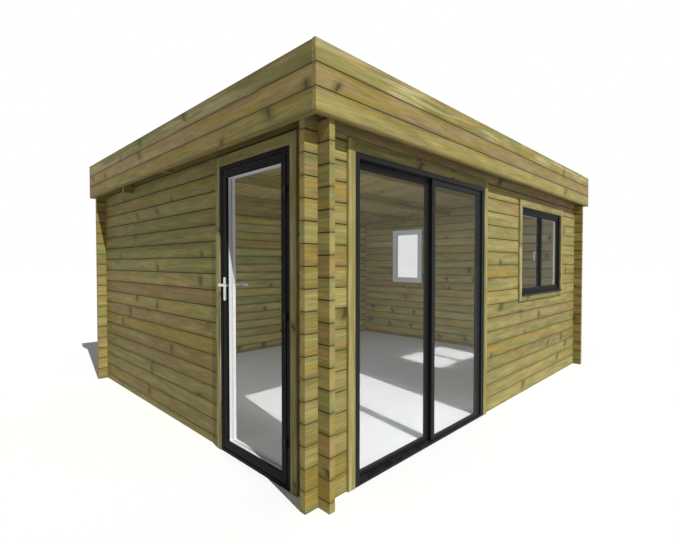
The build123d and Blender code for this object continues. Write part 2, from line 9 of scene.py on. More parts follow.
import bmesh
import bpy
from bpy.props import FloatProperty, FloatVectorProperty, PointerProperty
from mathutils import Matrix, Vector


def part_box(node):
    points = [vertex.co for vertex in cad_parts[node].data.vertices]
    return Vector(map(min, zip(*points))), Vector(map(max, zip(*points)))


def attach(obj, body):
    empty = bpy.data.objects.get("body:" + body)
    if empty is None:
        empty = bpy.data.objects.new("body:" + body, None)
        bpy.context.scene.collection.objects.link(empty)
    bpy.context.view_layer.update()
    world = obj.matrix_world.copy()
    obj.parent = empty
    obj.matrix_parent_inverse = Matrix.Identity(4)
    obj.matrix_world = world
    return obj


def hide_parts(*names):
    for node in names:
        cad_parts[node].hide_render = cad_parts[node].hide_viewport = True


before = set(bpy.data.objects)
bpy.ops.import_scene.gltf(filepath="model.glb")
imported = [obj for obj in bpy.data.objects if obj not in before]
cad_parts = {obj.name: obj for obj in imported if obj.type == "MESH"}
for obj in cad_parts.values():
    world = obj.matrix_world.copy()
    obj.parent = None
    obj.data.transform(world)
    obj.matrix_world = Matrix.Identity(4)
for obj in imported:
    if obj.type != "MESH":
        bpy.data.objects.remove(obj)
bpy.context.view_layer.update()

bl_info = {
    "name": "Garden Office Dresser",
    "version": (1, 0, 0),
    "blender": (4, 5, 0),
    "location": "3D View > Sidebar > Office",
    "description": "Dresses the garden office with pine, glass, metal and a plain stage",
    "category": "Object",
}

AXES = {"X": 0, "Y": 1, "Z": 2}

# Log walls: those along X have seams from the ground, those along Y are half a course higher
LONG_WALLS = (
    "front_wall_left",
    "front_wall_over_sliding_door",
    "front_wall_right",
    "front_wall_top",
    "back_wall",
)
SIDE_WALLS = (
    "left_wall_front",
    "left_wall_over_door",
    "left_wall_rear",
    "left_wall_top",
    "right_wall",
    "right_wall_top",
)

# Walls whose logs are pinkish heartwood, painted lighter to stand in for light in the shade of the fascia
HEARTWOOD_PAINTED_LIGHTER_WALLS = ("front_wall_top",)

# Fascia boards with the axis they run along and the axis they face
FASCIAS = {
    "fascia_front": ("X", "Y"),
    "fascia_back": ("X", "Y"),
    "fascia_left": ("Y", "X"),
    "fascia_right": ("Y", "X"),
}

# Trim boards with the axis along their wall, the axis they face and which way they face
TRIMS = {
    "door_trim": ("Y", "X", -1),
    "sliding_door_trim": ("X", "Y", -1),
    "front_window_trim": ("X", "Y", -1),
    "right_window_trim": ("Y", "X", 1),
}

# Panes with the axis along their wall, the axis through the glass, which way is outside, and their body
PANES = {
    "door_glass": ("Y", "X", -1, "door"),
    "sliding_door_fixed_glass": ("X", "Y", -1, "cabin"),
    "sliding_door_moving_glass": ("X", "Y", -1, "sliding_panel"),
    "front_window_glass": ("X", "Y", -1, "cabin"),
    "right_window_glass": ("Y", "X", 1, "cabin"),
}

# Frames that are dark outside and white inside, with the axis that they face and which way they face
FOILED_FRAMES = {
    "door_frame": ("X", -1),
    "door_leaf": ("X", -1),
    "front_window_frame": ("Y", -1),
    "front_window_sashes": ("Y", -1),
    "right_window_frame": ("X", 1),
    "right_window_sashes": ("X", 1),
}
SILLS = ("front_window_sill", "right_window_sill")
METAL_FRAMES = ("sliding_door_frame", "sliding_door_fixed_panel", "sliding_door_moving_panel")
HINGES = ("door_hinge_pins", "door_hinge_knuckles")
WINDOW_HANDLES = ("front_window_handle", "right_window_handle")

# Seeds of each group of boards after the walls, and their stride, so that no two boards look alike
FASCIA_SEED = 20
BATTEN_SEED = 25
ROOF_SEED = 30
TRIM_SEED = 40
SEED_STRIDE = 31.7

# Upright trim boards are told apart by cells of this width, and lying ones by a number of their own
UPRIGHT_CELL = 0.5
LYING_NUMBER = 7.0

# Knots: the luck at which a cell holds one, spans of size and lean, and shares that shape them
KNOT_LUCK = 0.80, 0.83
KNOT_SIZE_SHARES = 0.55, 1.25
KNOT_LEANS = -0.95, 0.20
KNOT_WOBBLE = 0.034
KNOT_OVAL_SHARE = 0.50
KNOT_SMEAR_SHARE = 0.55
KNOT_CORE_SHARES = 1.15, 0.45
KNOT_HALO_SHARES = 2.1, 0.5
KNOT_RINGS = 19.0

# Streaks that tint a board in turn: the tint, stretch along and across the grain, luck, and where they show
STREAKS = (
    ("Tan", 0.9, 11.0, 0.11, 0.42, 0.63),
    ("Green", 1.2, 15.0, 0.37, 0.47, 0.67),
    ("Honey", 1.4, 21.0, 0.59, 0.51, 0.73),
    ("Straw", 1.7, 28.0, 0.83, 0.54, 0.72),
)
STREAK_DRIFT = 0.18

# Pine: shift of the grain between boards, growth lines a metre, ring width, and reach of the seams and of
# the painted shade at board edges
GRAIN_SHIFT = 37.0
LINES_ACROSS = 88.0
LINES_THROUGH = 45.0
RING_WIDTH = 0.0052
SEAM_REACH = 0.0070, 0.0010
EDGE_SHADE_REACH = 0.034, 0.004
PINE_GLOSS = 0.14

# Lock barrel: its round top and narrow foot, as angles, steps and shares of its radius and rise
LOCK_START = math.radians(-54)
LOCK_ARC = math.radians(288)
LOCK_ARC_STEPS = 16
LOCK_FOOT_STEPS = 6
LOCK_FOOT_SHARE = 0.59
LOCK_DROP_SHARE = 2.4
LOCK_RISE_SHARES = -0.5, 0.85
SLOT_WIDTH_SHARE = 0.1
SLOT_HEIGHT_SHARE = 0.62
SLOT_RISE_SHARES = 0.5, 0.88

# Screw head: rings from its skirt to the drive recess, as shares of its radius and rise
SCREW_SIDES = 12
SCREW_RING_SHARES = ((1.0, -1.0), (0.96, 0.5), (0.62, 1.0), (0.40, 0.95), (0.34, -0.6))

# Rubber lip: its section, as shares of its width and depth
LIP_SHARES = ((0.0, 0.0), (1.0, 0.0), (0.8, 0.55), (0.35, 1.0), (0.0, 1.0))

# Width of the top of a roofing lap, as a share of its foot
LAP_TOP_SHARE = 0.96


def amount(name, description, default, **kind):
    """A number property, plain unless its kind says more."""
    return FloatProperty(name=name, description=description, default=default, **kind)


def length(name, description, default):
    """A length property in metres."""
    return amount(name, description, default, unit="LENGTH", subtype="DISTANCE")


def share(name, description, default):
    """A property between nought and one."""
    return amount(name, description, default, min=0.0, max=1.0, subtype="FACTOR")


def angle(name, description, degrees):
    """An angle property, given in degrees."""
    return amount(name, description, math.radians(degrees), subtype="ANGLE")


def triple(name, description, default, **kind):
    """A property of three numbers."""
    return FloatVectorProperty(name=name, description=description, default=default, size=3, **kind)


def colour(name, description, default):
    """A linear colour property."""
    return triple(name, description, default, subtype="COLOR")


class OfficeSizes(bpy.types.PropertyGroup):
    """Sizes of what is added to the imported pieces"""

    course: length("Log course", "Height of one log from seam to seam", 0.130)
    fascia_course: length("Fascia course", "Height of a fascia board", 0.130)
    batten_cell: length("Batten cell", "Width in which the grain of an upright stays the same", 0.09)
    knot_spacing: length("Knot spacing", "Length of log in which one knot may lie", 0.50)
    knot_radius: length("Knot radius", "Radius of an ordinary knot along the grain", 0.023)
    ceiling_board: length("Ceiling board", "Width of a roof board", 0.0945)
    ceiling_groove: length("Ceiling groove", "Chamfer at the long edges of a roof board", 0.004)
    ceiling_gap: length("Ceiling gap", "Half of the gap between roof boards", 0.0002)
    deck_thickness: length("Roof board thickness", "Thickness of the roof boards", 0.019)
    floor_board: length("Floor board", "Width of a floor board", 0.185)
    floor_run: length("Floor board length", "Length of a floor board", 2.4)
    roof_sheet: length("Roof sheet", "Width of one sheet of roofing between laps", 1.75)
    lap_width: length("Lap width", "Width of a lap between roofing sheets", 0.075)
    lap_thickness: length("Lap thickness", "Height of a lap above the roofing", 0.0015)
    trim_width: length("Trim width", "Width of an upright trim board", 0.065)
    screw_radius: length("Screw head radius", "Radius of a countersunk screw head", 0.0035)
    screw_rise: length("Screw head rise", "Height of a screw head over the board", 0.0005)
    screw_spacing: length("Screw spacing", "Largest distance between trim screws", 0.48)
    screw_inset: length("Screw inset", "Distance of the end screws from a board's end", 0.055)
    sheet_thickness: length("Glass sheet", "Thickness of the sheet of glass that shows in a pane", 0.006)
    sheet_arris: length("Glass arris", "Ground edge of a sheet of glass", 0.001)
    gasket_width: length("Gasket width", "Width of the rubber lip on a pane", 0.003)
    gasket_depth: length("Gasket depth", "Depth of the rubber lip on a pane", 0.004)
    seal_width: length("Door seal", "Size of the rubber seal on the door stop", 0.0035)
    stop_limit: length("Door stop limit", "Bars of the door frame thinner than this are its stops", 0.03)
    foil_wrap: length("Foil wrap", "How far the dark foil wraps round a frame's outer edge", 0.016)
    meeting_width: length("Meeting stiles", "Width of the two stiles that meet in the front window", 0.120)
    soft_edge: length("Softened edge", "Rounding of frame edges", 0.0016)
    handle_edge: length("Handle rounding", "Rounding of handle edges", 0.0028)
    plate_thickness: length("Handle plate", "Thickness of the door handle's plate", 0.008)
    plate_width: length("Plate width", "Width of the door handle's plate", 0.030)
    cylinder_height: length("Lock height", "Height of the lock above the plate's foot", 0.046)
    cylinder_radius: length("Lock radius", "Radius of the lock's barrel", 0.0085)
    cylinder_rise: length("Lock rise", "How far the lock stands out of the plate", 0.003)


class OfficeColours(bpy.types.PropertyGroup):
    """Colours of the finishes, as linear values, and how clear the glass is"""

    green_pine: colour("Green pine", "Pine tinted by its treatment", (0.300, 0.282, 0.096))
    straw_pine: colour("Straw pine", "Pale yellow pine", (0.412, 0.352, 0.127))
    tan_pine: colour("Tan pine", "Pinkish heartwood", (0.385, 0.272, 0.110))
    pink_pine: colour("Pink pine", "Pale pinkish pine", (0.405, 0.308, 0.142))
    # Pinkish heartwood, painted lighter than the other pine to make up for the fascia's shade over the top
    # log
    heartwood_painted_lighter: colour("Heartwood", "Pinkish wood of the top log in front", (0.520, 0.385, 0.180))
    honey_pine: colour("Honey pine", "Deep yellow pine", (0.400, 0.295, 0.072))
    pale_pine: colour("Pale pine", "Pale wood of the trim boards", (0.545, 0.470, 0.222))
    knot: colour("Knot", "Dark knot wood", (0.080, 0.058, 0.018))
    # Seam colour: a stain along the joints that also stands in for shade in the grooves
    seam: colour("Seam", "Stained edges where boards meet", (0.105, 0.078, 0.028))
    dark_frame: colour("Dark frame", "Anthracite outer face of frames", (0.0080, 0.0080, 0.0088))
    dark_metal: colour("Dark metal", "Anthracite powder coat", (0.011, 0.011, 0.0125))
    white_frame: colour("White frame", "Inner face of frames", (0.860, 0.860, 0.850))
    dust: colour("Dust", "Settled dust", (0.300, 0.280, 0.240))
    glass: colour("Glass", "Tint of the panes", (0.850, 0.858, 0.858))
    door_clearness: share("Door glass clearness", "Share of light that passes the film of dust", 0.982)
    window_clearness: share("Window glass clearness", "Share of light that passes the film of dust", 0.995)
    steel: colour("Steel", "Satin steel", (0.640, 0.640, 0.630))
    screw: colour("Screws", "Brown coat of the screws", (0.200, 0.150, 0.065))
    rubber: colour("Rubber", "Gaskets and seals", (0.018, 0.018, 0.019))
    pale_rubber: colour("Pale rubber", "Gaskets of the side door's pane", (0.720, 0.720, 0.710))
    membrane: colour("Roofing", "Roof sheet", (0.042, 0.043, 0.046))
    floor_paint: colour("Floor", "Pale painted floor boards", (0.880, 0.880, 0.875))


class OfficeStage(bpy.types.PropertyGroup):
    """Camera, lamps, sky and stage floor"""

    camera_place: triple(
        "Camera place", "Where the camera stands", (-4.124, -3.793, 1.449), subtype="XYZ", unit="LENGTH",
    )
    camera_yaw: angle("Camera yaw", "Turn from +X towards +Y", 44.744)
    camera_pitch: angle("Camera pitch", "Tilt below level", 1.251)
    camera_lens: amount("Lens", "Focal length in millimetres", 21.873)
    sun_strength: amount("Sun", "Strength of the sun lamp", 2.8)
    sun_softness: angle("Sun softness", "Angle that the sun lamp fills", 0.35)
    sun_travel: triple(
        "Sun direction", "Direction that sunlight travels", (0.1325, 0.6946, -0.7071), subtype="DIRECTION",
    )
    sky_strength: amount("Sky", "Strength of the even sky light", 0.16)
    room_light: amount("Room light", "Power of the soft lamp at the floor", 19.0)
    front_light: amount("Front light", "Power of the soft lamp by the front wall", 5.0)
    side_light: amount("Side light", "Power of the soft lamp by the left wall", 7.0)
    room_tint: colour("Room light tint", "Colour of those soft lamps", (0.86, 0.95, 1.0))
    ceiling_light: amount("Ceiling light", "Power of the soft lamp overhead", 17.5)
    ceiling_tint: colour("Ceiling light tint", "Colour of the soft lamp overhead", (0.59, 0.72, 1.0))
    light_gap: length("Light gap", "Distance of the soft lamps from the room's faces", 0.05)
    floor_bounce: share("Floor bounce", "Share of light that the stage floor sends back", 0.50)
    floor_seen: amount("Floor seen", "Share of the light that shows on the floor", 1.29)
    floor_reach: length("Floor reach", "Half width of the stage floor", 90.0)


# Node wiring
class Value:
    """Output of a node. Plain arithmetic on it adds math nodes to its tree."""

    def __init__(self, wiring, socket):
        self.wiring = wiring
        self.socket = socket

    def __add__(self, other):
        return self.wiring.math("ADD", self, other)

    def __sub__(self, other):
        return self.wiring.math("SUBTRACT", self, other)

    def __rsub__(self, other):
        return self.wiring.math("SUBTRACT", other, self)

    def __mul__(self, other):
        return self.wiring.math("MULTIPLY", self, other)

    def __truediv__(self, other):
        return self.wiring.math("DIVIDE", self, other)

    def __gt__(self, other):
        return self.wiring.math("GREATER_THAN", self, other)

    def __lt__(self, other):
        return self.wiring.math("LESS_THAN", self, other)

    def __abs__(self):
        return self.wiring.math("ABSOLUTE", self)


class Wiring:
    """Short calls that add nodes to one node tree and link them."""

    def __init__(self, tree):
        self.tree = tree

    def add(self, kind, **options):
        """Add a node and set its options."""
        node = self.tree.nodes.new(kind)
        for key, value in options.items():
            setattr(node, key, value)
        return node

    def values(self, sockets):
        """Outputs of a node as values, by name."""
        return {socket.name: Value(self, socket) for socket in sockets}

    def feed(self, socket, value):
        """Link a socket to an output, or set a plain value on it."""
        if isinstance(value, Value):
            value = value.socket
        if isinstance(value, bpy.types.NodeSocket):
            self.tree.links.new(value, socket)
        elif value is not None:
            socket.default_value = value

    def fill(self, node, *given):
        """Feed a node's inputs in order and give its first output."""
        for socket, value in zip(node.inputs, given):
            self.feed(socket, value)
        return Value(self, node.outputs[0])

    def math(self, operation, first, second=None, third=None, clamp=False):
        """One arithmetic step."""
        node = self.add("ShaderNodeMath", operation=operation, use_clamp=clamp)
        return self.fill(node, first, second, third)

    def scaled(self, value, factor, offset):
        """A value times a factor, plus an offset."""
        return self.math("MULTIPLY_ADD", value, factor, offset)

    def span(self, value, low, high):
        """Stretch a value from nought and one to low and high."""
        return self.scaled(value, high - low, low)

    def wave(self, radians):
        """Sine wave between nought and one."""
        return self.span(self.math("SINE", radians), 0.5, 1.0)

    def far(self, x, y):
        """Distance of a point from the middle."""
        return self.math("SQRT", x * x + y * y)

    def join(self, x, y, z):
        """Vector of three values."""
        return self.fill(self.add("ShaderNodeCombineXYZ"), x, y, z)

    def split(self, vector):
        """The three values of a vector, by axis name."""
        node = self.add("ShaderNodeSeparateXYZ")
        self.feed(node.inputs[0], vector)
        return self.values(node.outputs)

    def step(self, value, low, high):
        """Smooth step from nought at low to one at high."""
        node = self.add("ShaderNodeMapRange", interpolation_type="SMOOTHSTEP")
        self.feed(node.inputs["Value"], value)
        node.inputs["From Min"].default_value = low
        node.inputs["From Max"].default_value = high
        return Value(self, node.outputs["Result"])

    def blend(self, factor, first, second, mode="MIX"):
        """Mix two colours."""
        node = self.add("ShaderNodeMix", data_type="RGBA", blend_type=mode)
        self.feed(node.inputs[0], factor)
        self.feed(node.inputs[6], first)
        self.feed(node.inputs[7], second)
        return Value(self, node.outputs[2])

    def shade(self, tint, value):
        """Multiply a colour by a value."""
        return self.blend(1.0, tint, self.join(value, value, value), "MULTIPLY")

    def noise(self, vector, scale=1.0, detail=2.0, roughness=0.5):
        """Soft noise around one half."""
        node = self.add("ShaderNodeTexNoise")
        given = {"Vector": vector, "Scale": scale, "Detail": detail, "Roughness": roughness}
        for key, value in given.items():
            self.feed(node.inputs[key], value)
        return Value(self, node.outputs[0])

    def chance(self, value):
        """Random value that stays the same for the same number."""
        node = self.add("ShaderNodeTexWhiteNoise", noise_dimensions="1D")
        self.feed(node.inputs["W"], value)
        return Value(self, node.outputs["Value"])

    def spot(self):
        """The object coordinates, in metres."""
        return self.add("ShaderNodeTexCoord").outputs["Object"]

    def place(self):
        """The three object coordinates, by axis name."""
        return self.split(self.spot())

    def facing(self):
        """The three parts of the surface normal, by axis name."""
        return self.split(self.add("ShaderNodeNewGeometry").outputs["Normal"])

    def group(self, name, **given):
        """Place a shared node group and give it its inputs."""
        node = self.add("ShaderNodeGroup", node_tree=bpy.data.node_groups[name])
        for key, value in given.items():
            self.feed(node.inputs[key], value)
        return self.values(node.outputs)

    def mix(self, factor, first, second):
        """Mix two shaders."""
        return self.fill(self.add("ShaderNodeMixShader"), factor, first.outputs[0], second.outputs[0])

    def show(self, surface, kind="ShaderNodeOutputMaterial"):
        """Send a shader to the tree's output."""
        self.feed(self.add(kind).inputs["Surface"], surface)


def rgba(tint):
    """A colour property with its alpha."""
    return (*tint, 1.0)


def empty_wiring(owner):
    """Wiring of a material's or world's node tree, emptied."""
    owner.use_nodes = True
    owner.node_tree.nodes.clear()
    return Wiring(owner.node_tree)


def make_group(name, inputs, outputs):
    """New shader node group: its wiring, what comes in and what goes out.

    Inputs have defaults: a number, a vector of three or a colour of four. Outputs have kinds."""
    group = bpy.data.node_groups.new(name, "ShaderNodeTree")
    for label, default in inputs.items():
        kind = "Float"
        if not isinstance(default, float):
            kind = "Color" if len(default) == 4 else "Vector"
        socket = group.interface.new_socket(name=label, in_out="INPUT", socket_type=f"NodeSocket{kind}")
        socket.default_value = default
    for label, kind in outputs.items():
        group.interface.new_socket(name=label, in_out="OUTPUT", socket_type=f"NodeSocket{kind}")
    wiring = Wiring(group)
    given = wiring.values(wiring.add("NodeGroupInput").outputs)
    return wiring, given, wiring.add("NodeGroupOutput").inputs


def make_material(name, **constants):
    """New material with a Principled shader: its wiring and the shader.

    Constants go on the shader's own sockets, named with underscores for spaces."""
    material = bpy.data.materials.new(name)
    wiring = empty_wiring(material)
    shader = wiring.add("ShaderNodeBsdfPrincipled")
    for key, value in constants.items():
        shader.inputs[key.replace("_", " ")].default_value = value
    return material, wiring, shader


def finish(wiring, shader, tint, roughness, relief=None, strength=0.0, depth=0.0):
    """Feed a shader its colour, its roughness and a relief of a real depth, and show it."""
    wiring.feed(shader.inputs["Base Color"], tint)
    wiring.feed(shader.inputs["Roughness"], roughness)
    if relief is not None:
        bump = wiring.add("ShaderNodeBump")
        bump.inputs["Strength"].default_value = strength
        bump.inputs["Distance"].default_value = depth
        wiring.feed(bump.inputs["Height"], relief)
        wiring.feed(shader.inputs["Normal"], bump.outputs[0])
    wiring.show(shader.outputs[0])


# Shared surface effects
def build_knot_group():
    """Group for knots: slanting ovals scattered along a board."""
    wiring, given, out = make_group(
        "Pine knots",
        {"Along": 0.0, "Place": 0.5, "Height": 0.13, "Board": 0.0, "Spacing": 0.50, "Radius": 0.019},
        {"Core": "Float", "Halo": "Float", "Rings": "Float"},
    )
    place, height, spacing = given["Place"], given["Height"], given["Spacing"]
    run = given["Board"] * 5.37 + given["Along"] / spacing
    cells = wiring.add("ShaderNodeTexVoronoi", voronoi_dimensions="2D", feature="F1")
    cells.inputs["Scale"].default_value = 1.0
    cells.inputs["Randomness"].default_value = 0.85
    wiring.feed(cells.inputs["Vector"], wiring.join(run, place, 0.0))
    centre = wiring.split(cells.outputs["Position"])
    sorter = wiring.add("ShaderNodeSeparateColor")
    wiring.feed(sorter.inputs[0], cells.outputs["Color"])
    luck = wiring.values(sorter.outputs)
    present = wiring.step(luck["Red"], *KNOT_LUCK)
    size = wiring.span(luck["Green"], *KNOT_SIZE_SHARES) * given["Radius"]
    lean = wiring.span(luck["Blue"], *KNOT_LEANS)
    wobble = wiring.noise(wiring.join(given["Along"], place * height, given["Board"]), 34.0, 3.0)
    across = (place - centre["Y"]) * height
    along = (run - centre["X"]) * spacing + across * lean + (wobble - 0.5) * KNOT_WOBBLE
    oval = across * KNOT_OVAL_SHARE
    distance = wiring.far(along, oval) / size
    smear = wiring.far(along * KNOT_SMEAR_SHARE, oval) / size
    wiring.feed(out["Core"], present * wiring.step(distance, *KNOT_CORE_SHARES))
    wiring.feed(out["Halo"], present * wiring.step(smear, *KNOT_HALO_SHARES))
    wiring.feed(out["Rings"], wiring.wave(distance * KNOT_RINGS))


def build_pine_group(sizes, colours):
    """Group for planed pine: board tints, streaks, growth lines, knots, end grain, dark seams that are
    partly painted shade in the grooves, and painted shade towards each board's edges.
    """
    inputs = {
        "Along": 0.0, "Across": 0.0, "Through": 0.0, "Board": 0.0, "Place": 0.5,
        "Height": sizes.course, "End": 0.0, "Seam": 1.0,
        "Straw": rgba(colours.straw_pine), "Green": rgba(colours.green_pine), "Tan": rgba(colours.tan_pine),
        "Honey": rgba(colours.honey_pine), "Knot": rgba(colours.knot), "Stain_and_shade": rgba(colours.seam),
    }
    outputs = {"Color": "Color", "Roughness": "Float", "Relief": "Float"}
    wiring, given, out = make_group("Planed pine", inputs, outputs)
    board, place, height = given["Board"], given["Place"], given["Height"]
    across, through = given["Across"], given["Through"]

    def luck(number):
        """Random value of a board, another one for each number."""
        return wiring.chance(board + number)

    def grain(along_scale, across_scale, detail=2.0):
        """Noise drawn out along the grain, different on each board."""
        deep = through * across_scale + board * 3.7
        return wiring.noise(wiring.join(run * along_scale, across * across_scale, deep), detail=detail)

    run = luck(0.71) * GRAIN_SHIFT + given["Along"]
    knots = wiring.group(
        "Pine knots", Along=run, Place=place, Height=height, Board=board,
        Spacing=sizes.knot_spacing, Radius=sizes.knot_radius,
    )
    tint = given["Straw"]
    for name, along_scale, across_scale, number, low, high in STREAKS:
        drift = wiring.span(luck(number), -STREAK_DRIFT, STREAK_DRIFT)
        streaks = wiring.step(grain(along_scale, across_scale, 3.0) + drift, low, high)
        tint = wiring.blend(streaks, tint, given[name])
    tint = wiring.shade(tint, wiring.span(luck(0.29), 0.91, 1.13))

    cloud = grain(3.2, 13.0, 3.0)
    dashes = wiring.step(grain(4.5, 95.0, 3.0), 0.28, 0.72)
    fine = grain(11.0, 420.0)
    growth = across * LINES_ACROSS + grain(0.5, 6.0) * 8.0 + through * LINES_THROUGH + knots["Halo"] * 1.9
    lines = wiring.math("MAXIMUM", wiring.wave(growth * math.tau), 0.0)
    lines = wiring.math("POWER", lines, 3.0) * wiring.step(grain(1.4, 9.0), 0.3, 0.7)
    face = tint
    layers = (cloud, 0.66, 1.40), (lines, 1.0, 0.80), (dashes, 0.83, 1.17), (fine, 0.86, 1.14)
    for layer, low, high in layers:
        face = wiring.shade(face, wiring.span(layer, low, high))
    face = wiring.blend(knots["Halo"] * 0.58, face, wiring.shade(face, 0.40))
    core = wiring.shade(given["Knot"], wiring.span(knots["Rings"], 0.7, 1.25))
    face = wiring.blend(knots["Core"] * 0.82, face, core)

    pith = place * height + wiring.span(luck(0.13), -0.02, 0.06)
    ring = wiring.far(pith, through) + grain(1.0, 30.0) * 0.004
    ring = wiring.wave(ring * (math.tau / RING_WIDTH))
    end = wiring.shade(wiring.shade(tint, 1.18), wiring.span(ring, 1.04, 0.90))
    end = wiring.shade(end, wiring.span(cloud, 0.86, 1.12))
    surface = wiring.blend(given["End"], face, end)

    edge = wiring.math("MINIMUM", place, 1.0 - place) * height
    # Dark seams: a stain along each joint, partly painted shade in the groove
    seam = wiring.step(edge, *SEAM_REACH) * given["Seam"]
    # Painted shade: each board darkens towards its long edges, as light falls off over a rounded log
    surface = wiring.shade(surface, wiring.span(wiring.step(edge, *EDGE_SHADE_REACH), 1.0, 0.80))
    wiring.feed(out["Color"], wiring.blend(seam * 0.92, surface, given["Stain_and_shade"]))
    wiring.feed(out["Roughness"], knots["Core"] * -0.14 + wiring.span(fine, 0.52, 0.74))
    wiring.feed(out["Relief"], lines * -0.5 + fine + knots["Core"] * 0.8)


def build_dust_group():
    """Group for dust that settles on faces that look up, and thinly elsewhere."""
    inputs = {"Vector": (0.0, 0.0, 0.0), "Up": 0.0, "Amount": 0.5}
    wiring, given, out = make_group("Settled dust", inputs, {"Dust": "Float"})
    patches = wiring.step(wiring.noise(given["Vector"], 14.0, 5.0, 0.65), 0.35, 0.75)
    dust = wiring.step(given["Up"], 0.3, 0.95) * 0.40 + 0.02
    wiring.feed(out["Dust"], patches * dust * given["Amount"])


def build_brushed_group():
    """Group for fine brushed lines on metal along one direction."""
    wiring, given, out = make_group("Brushed lines", {"Along": 0.0, "Across": 0.0}, {"Lines": "Float"})
    spot = wiring.join(given["Along"] * 60.0, given["Across"] * 5200.0, 0.0)
    wiring.feed(out["Lines"], wiring.noise(spot, 1.0, 3.0, 0.6))


def build_mottle_group():
    """Group for a brightness that drifts softly over a surface, between low and high."""
    inputs = {"Vector": (0.0, 0.0, 0.0), "Scale": 5.0, "Low": 0.9, "High": 1.1}
    wiring, given, out = make_group("Soft mottle", inputs, {"Value": "Float"})
    drift = wiring.noise(given["Vector"], given["Scale"], 3.0, 0.55)
    wiring.feed(out["Value"], drift * (given["High"] - given["Low"]) + given["Low"])


def build_grain_group():
    """Group for the fine grain of foils, coats and mouldings."""
    inputs = {"Vector": (0.0, 0.0, 0.0), "Scale": 900.0, "Detail": 2.0, "Spread": 0.5}
    wiring, given, out = make_group("Fine grain", inputs, {"Grain": "Float"})
    wiring.feed(out["Grain"], wiring.noise(*(given[label] for label in inputs)))


def build_groups(sizes, colours):
    """All shared effects, once."""
    build_knot_group()
    build_pine_group(sizes, colours)
    build_dust_group()
    build_brushed_group()
    build_mottle_group()
    build_grain_group()


def planed(wiring, shader, **given):
    """Finish a shader as planed pine."""
    pine = wiring.group("Planed pine", **given)
    finish(wiring, shader, pine["Color"], pine["Roughness"], pine["Relief"], strength=0.5, depth=0.0006)


def dusted(wiring, vector, tint, colours, dustiness):
    """A colour with settled dust over it."""
    dust = wiring.group("Settled dust", Vector=vector, Up=wiring.facing()["Z"], Amount=dustiness)["Dust"]
    return wiring.blend(dust, tint, rgba(colours.dust))


def mottled(wiring, vector, scale, low, high):
    """Brightness that drifts softly over a surface."""
    return wiring.group("Soft mottle", Vector=vector, Scale=scale, Low=low, High=high)["Value"]


def grained(wiring, vector, scale, detail=2.0, spread=0.5):
    """Fine grain of a surface."""
    return wiring.group("Fine grain", Vector=vector, Scale=scale, Detail=detail, Spread=spread)["Grain"]


# Materials
def boarded_pine(name, along, across, through, height, first, centre, seed, seam=1.0, bases=(), **tints):
    """Pine in boards of one height, stacked from a first seam along the across axis.

    Bases are the main colours of the boards from the first one up, where they have their own, and
    tints are other colours that take the place of the ordinary ones."""
    material, wiring, shader = make_material(name, Specular_IOR_Level=PINE_GLOSS)
    place = wiring.place()
    level = (place[across] - first) / height
    number = wiring.math("FLOOR", level)
    if bases:
        base = rgba(bases[0])
        for count, following in enumerate(bases[1:]):
            base = wiring.blend(number > count + 0.5, base, rgba(following))
        tints["Straw"] = base
    planed(
        wiring, shader, Along=place[along], Across=place[across], Through=place[through] - centre,
        Board=number + seed * SEED_STRIDE, Place=level - number, Height=height,
        End=wiring.step(abs(wiring.facing()[along]), 0.5, 0.8), Seam=seam, **tints,
    )
    return material


def framing_pine(name, wall_axis, through, low, high, seed, sizes, colours):
    """Pale pine for boards round an opening: upright at both sides, lying between low and high."""
    material, wiring, shader = make_material(name, Specular_IOR_Level=PINE_GLOSS)
    place, facing = wiring.place(), wiring.facing()
    wall, rise, width = place[wall_axis], place["Z"], sizes.trim_width
    lying = (wall > low) * (wall < high)
    turn = lying * (wall - rise)
    across = wall - turn
    side = wiring.math("FLOOR", across / UPRIGHT_CELL)
    upright_end, lying_end = abs(facing["Z"]), abs(facing[wall_axis])
    end = lying * (lying_end - upright_end) + upright_end
    planed(
        wiring, shader, Along=turn + rise, Across=across, Through=place[through],
        Board=lying * LYING_NUMBER + (side + seed * SEED_STRIDE),
        Place=wiring.math("FRACT", across / width), Height=width,
        End=wiring.step(end, 0.8, 0.95), Seam=0.0, Straw=rgba(colours.pale_pine),
        Tan=rgba(colours.straw_pine), Honey=rgba(colours.straw_pine),
    )
    return material


def foiled_plastic(name, axis, boundary, inside_up, colours, meeting=None):
    """Foiled frame: anthracite on the weather side of a plane, white on the room side.

    Meeting gives the axis, centre and half width of stiles that meet: their edges are dark all through."""
    material, wiring, shader = make_material(name, Specular_IOR_Level=0.05)
    vector = wiring.spot()
    place = wiring.split(vector)
    inside = place[axis] > boundary if inside_up else place[axis] < boundary
    if meeting:
        wall_axis, centre, half = meeting
        edges = (abs(wiring.facing()[wall_axis]) > 0.5) * (abs(place[wall_axis] - centre) < half)
        inside = wiring.math("SUBTRACT", inside, edges, clamp=True)
    dark = wiring.shade(rgba(colours.dark_frame), mottled(wiring, vector, 9.0, 0.88, 1.12))
    dark = dusted(wiring, vector, dark, colours, 0.30)
    white = wiring.shade(rgba(colours.white_frame), mottled(wiring, vector, 5.0, 0.95, 1.03))
    grain = grained(wiring, vector, 900.0, 3.0, 0.6)
    tint = wiring.blend(inside, dark, white)
    finish(wiring, shader, tint, wiring.span(grain, 0.42, 0.58), grain, strength=0.25, depth=0.0002)
    return material


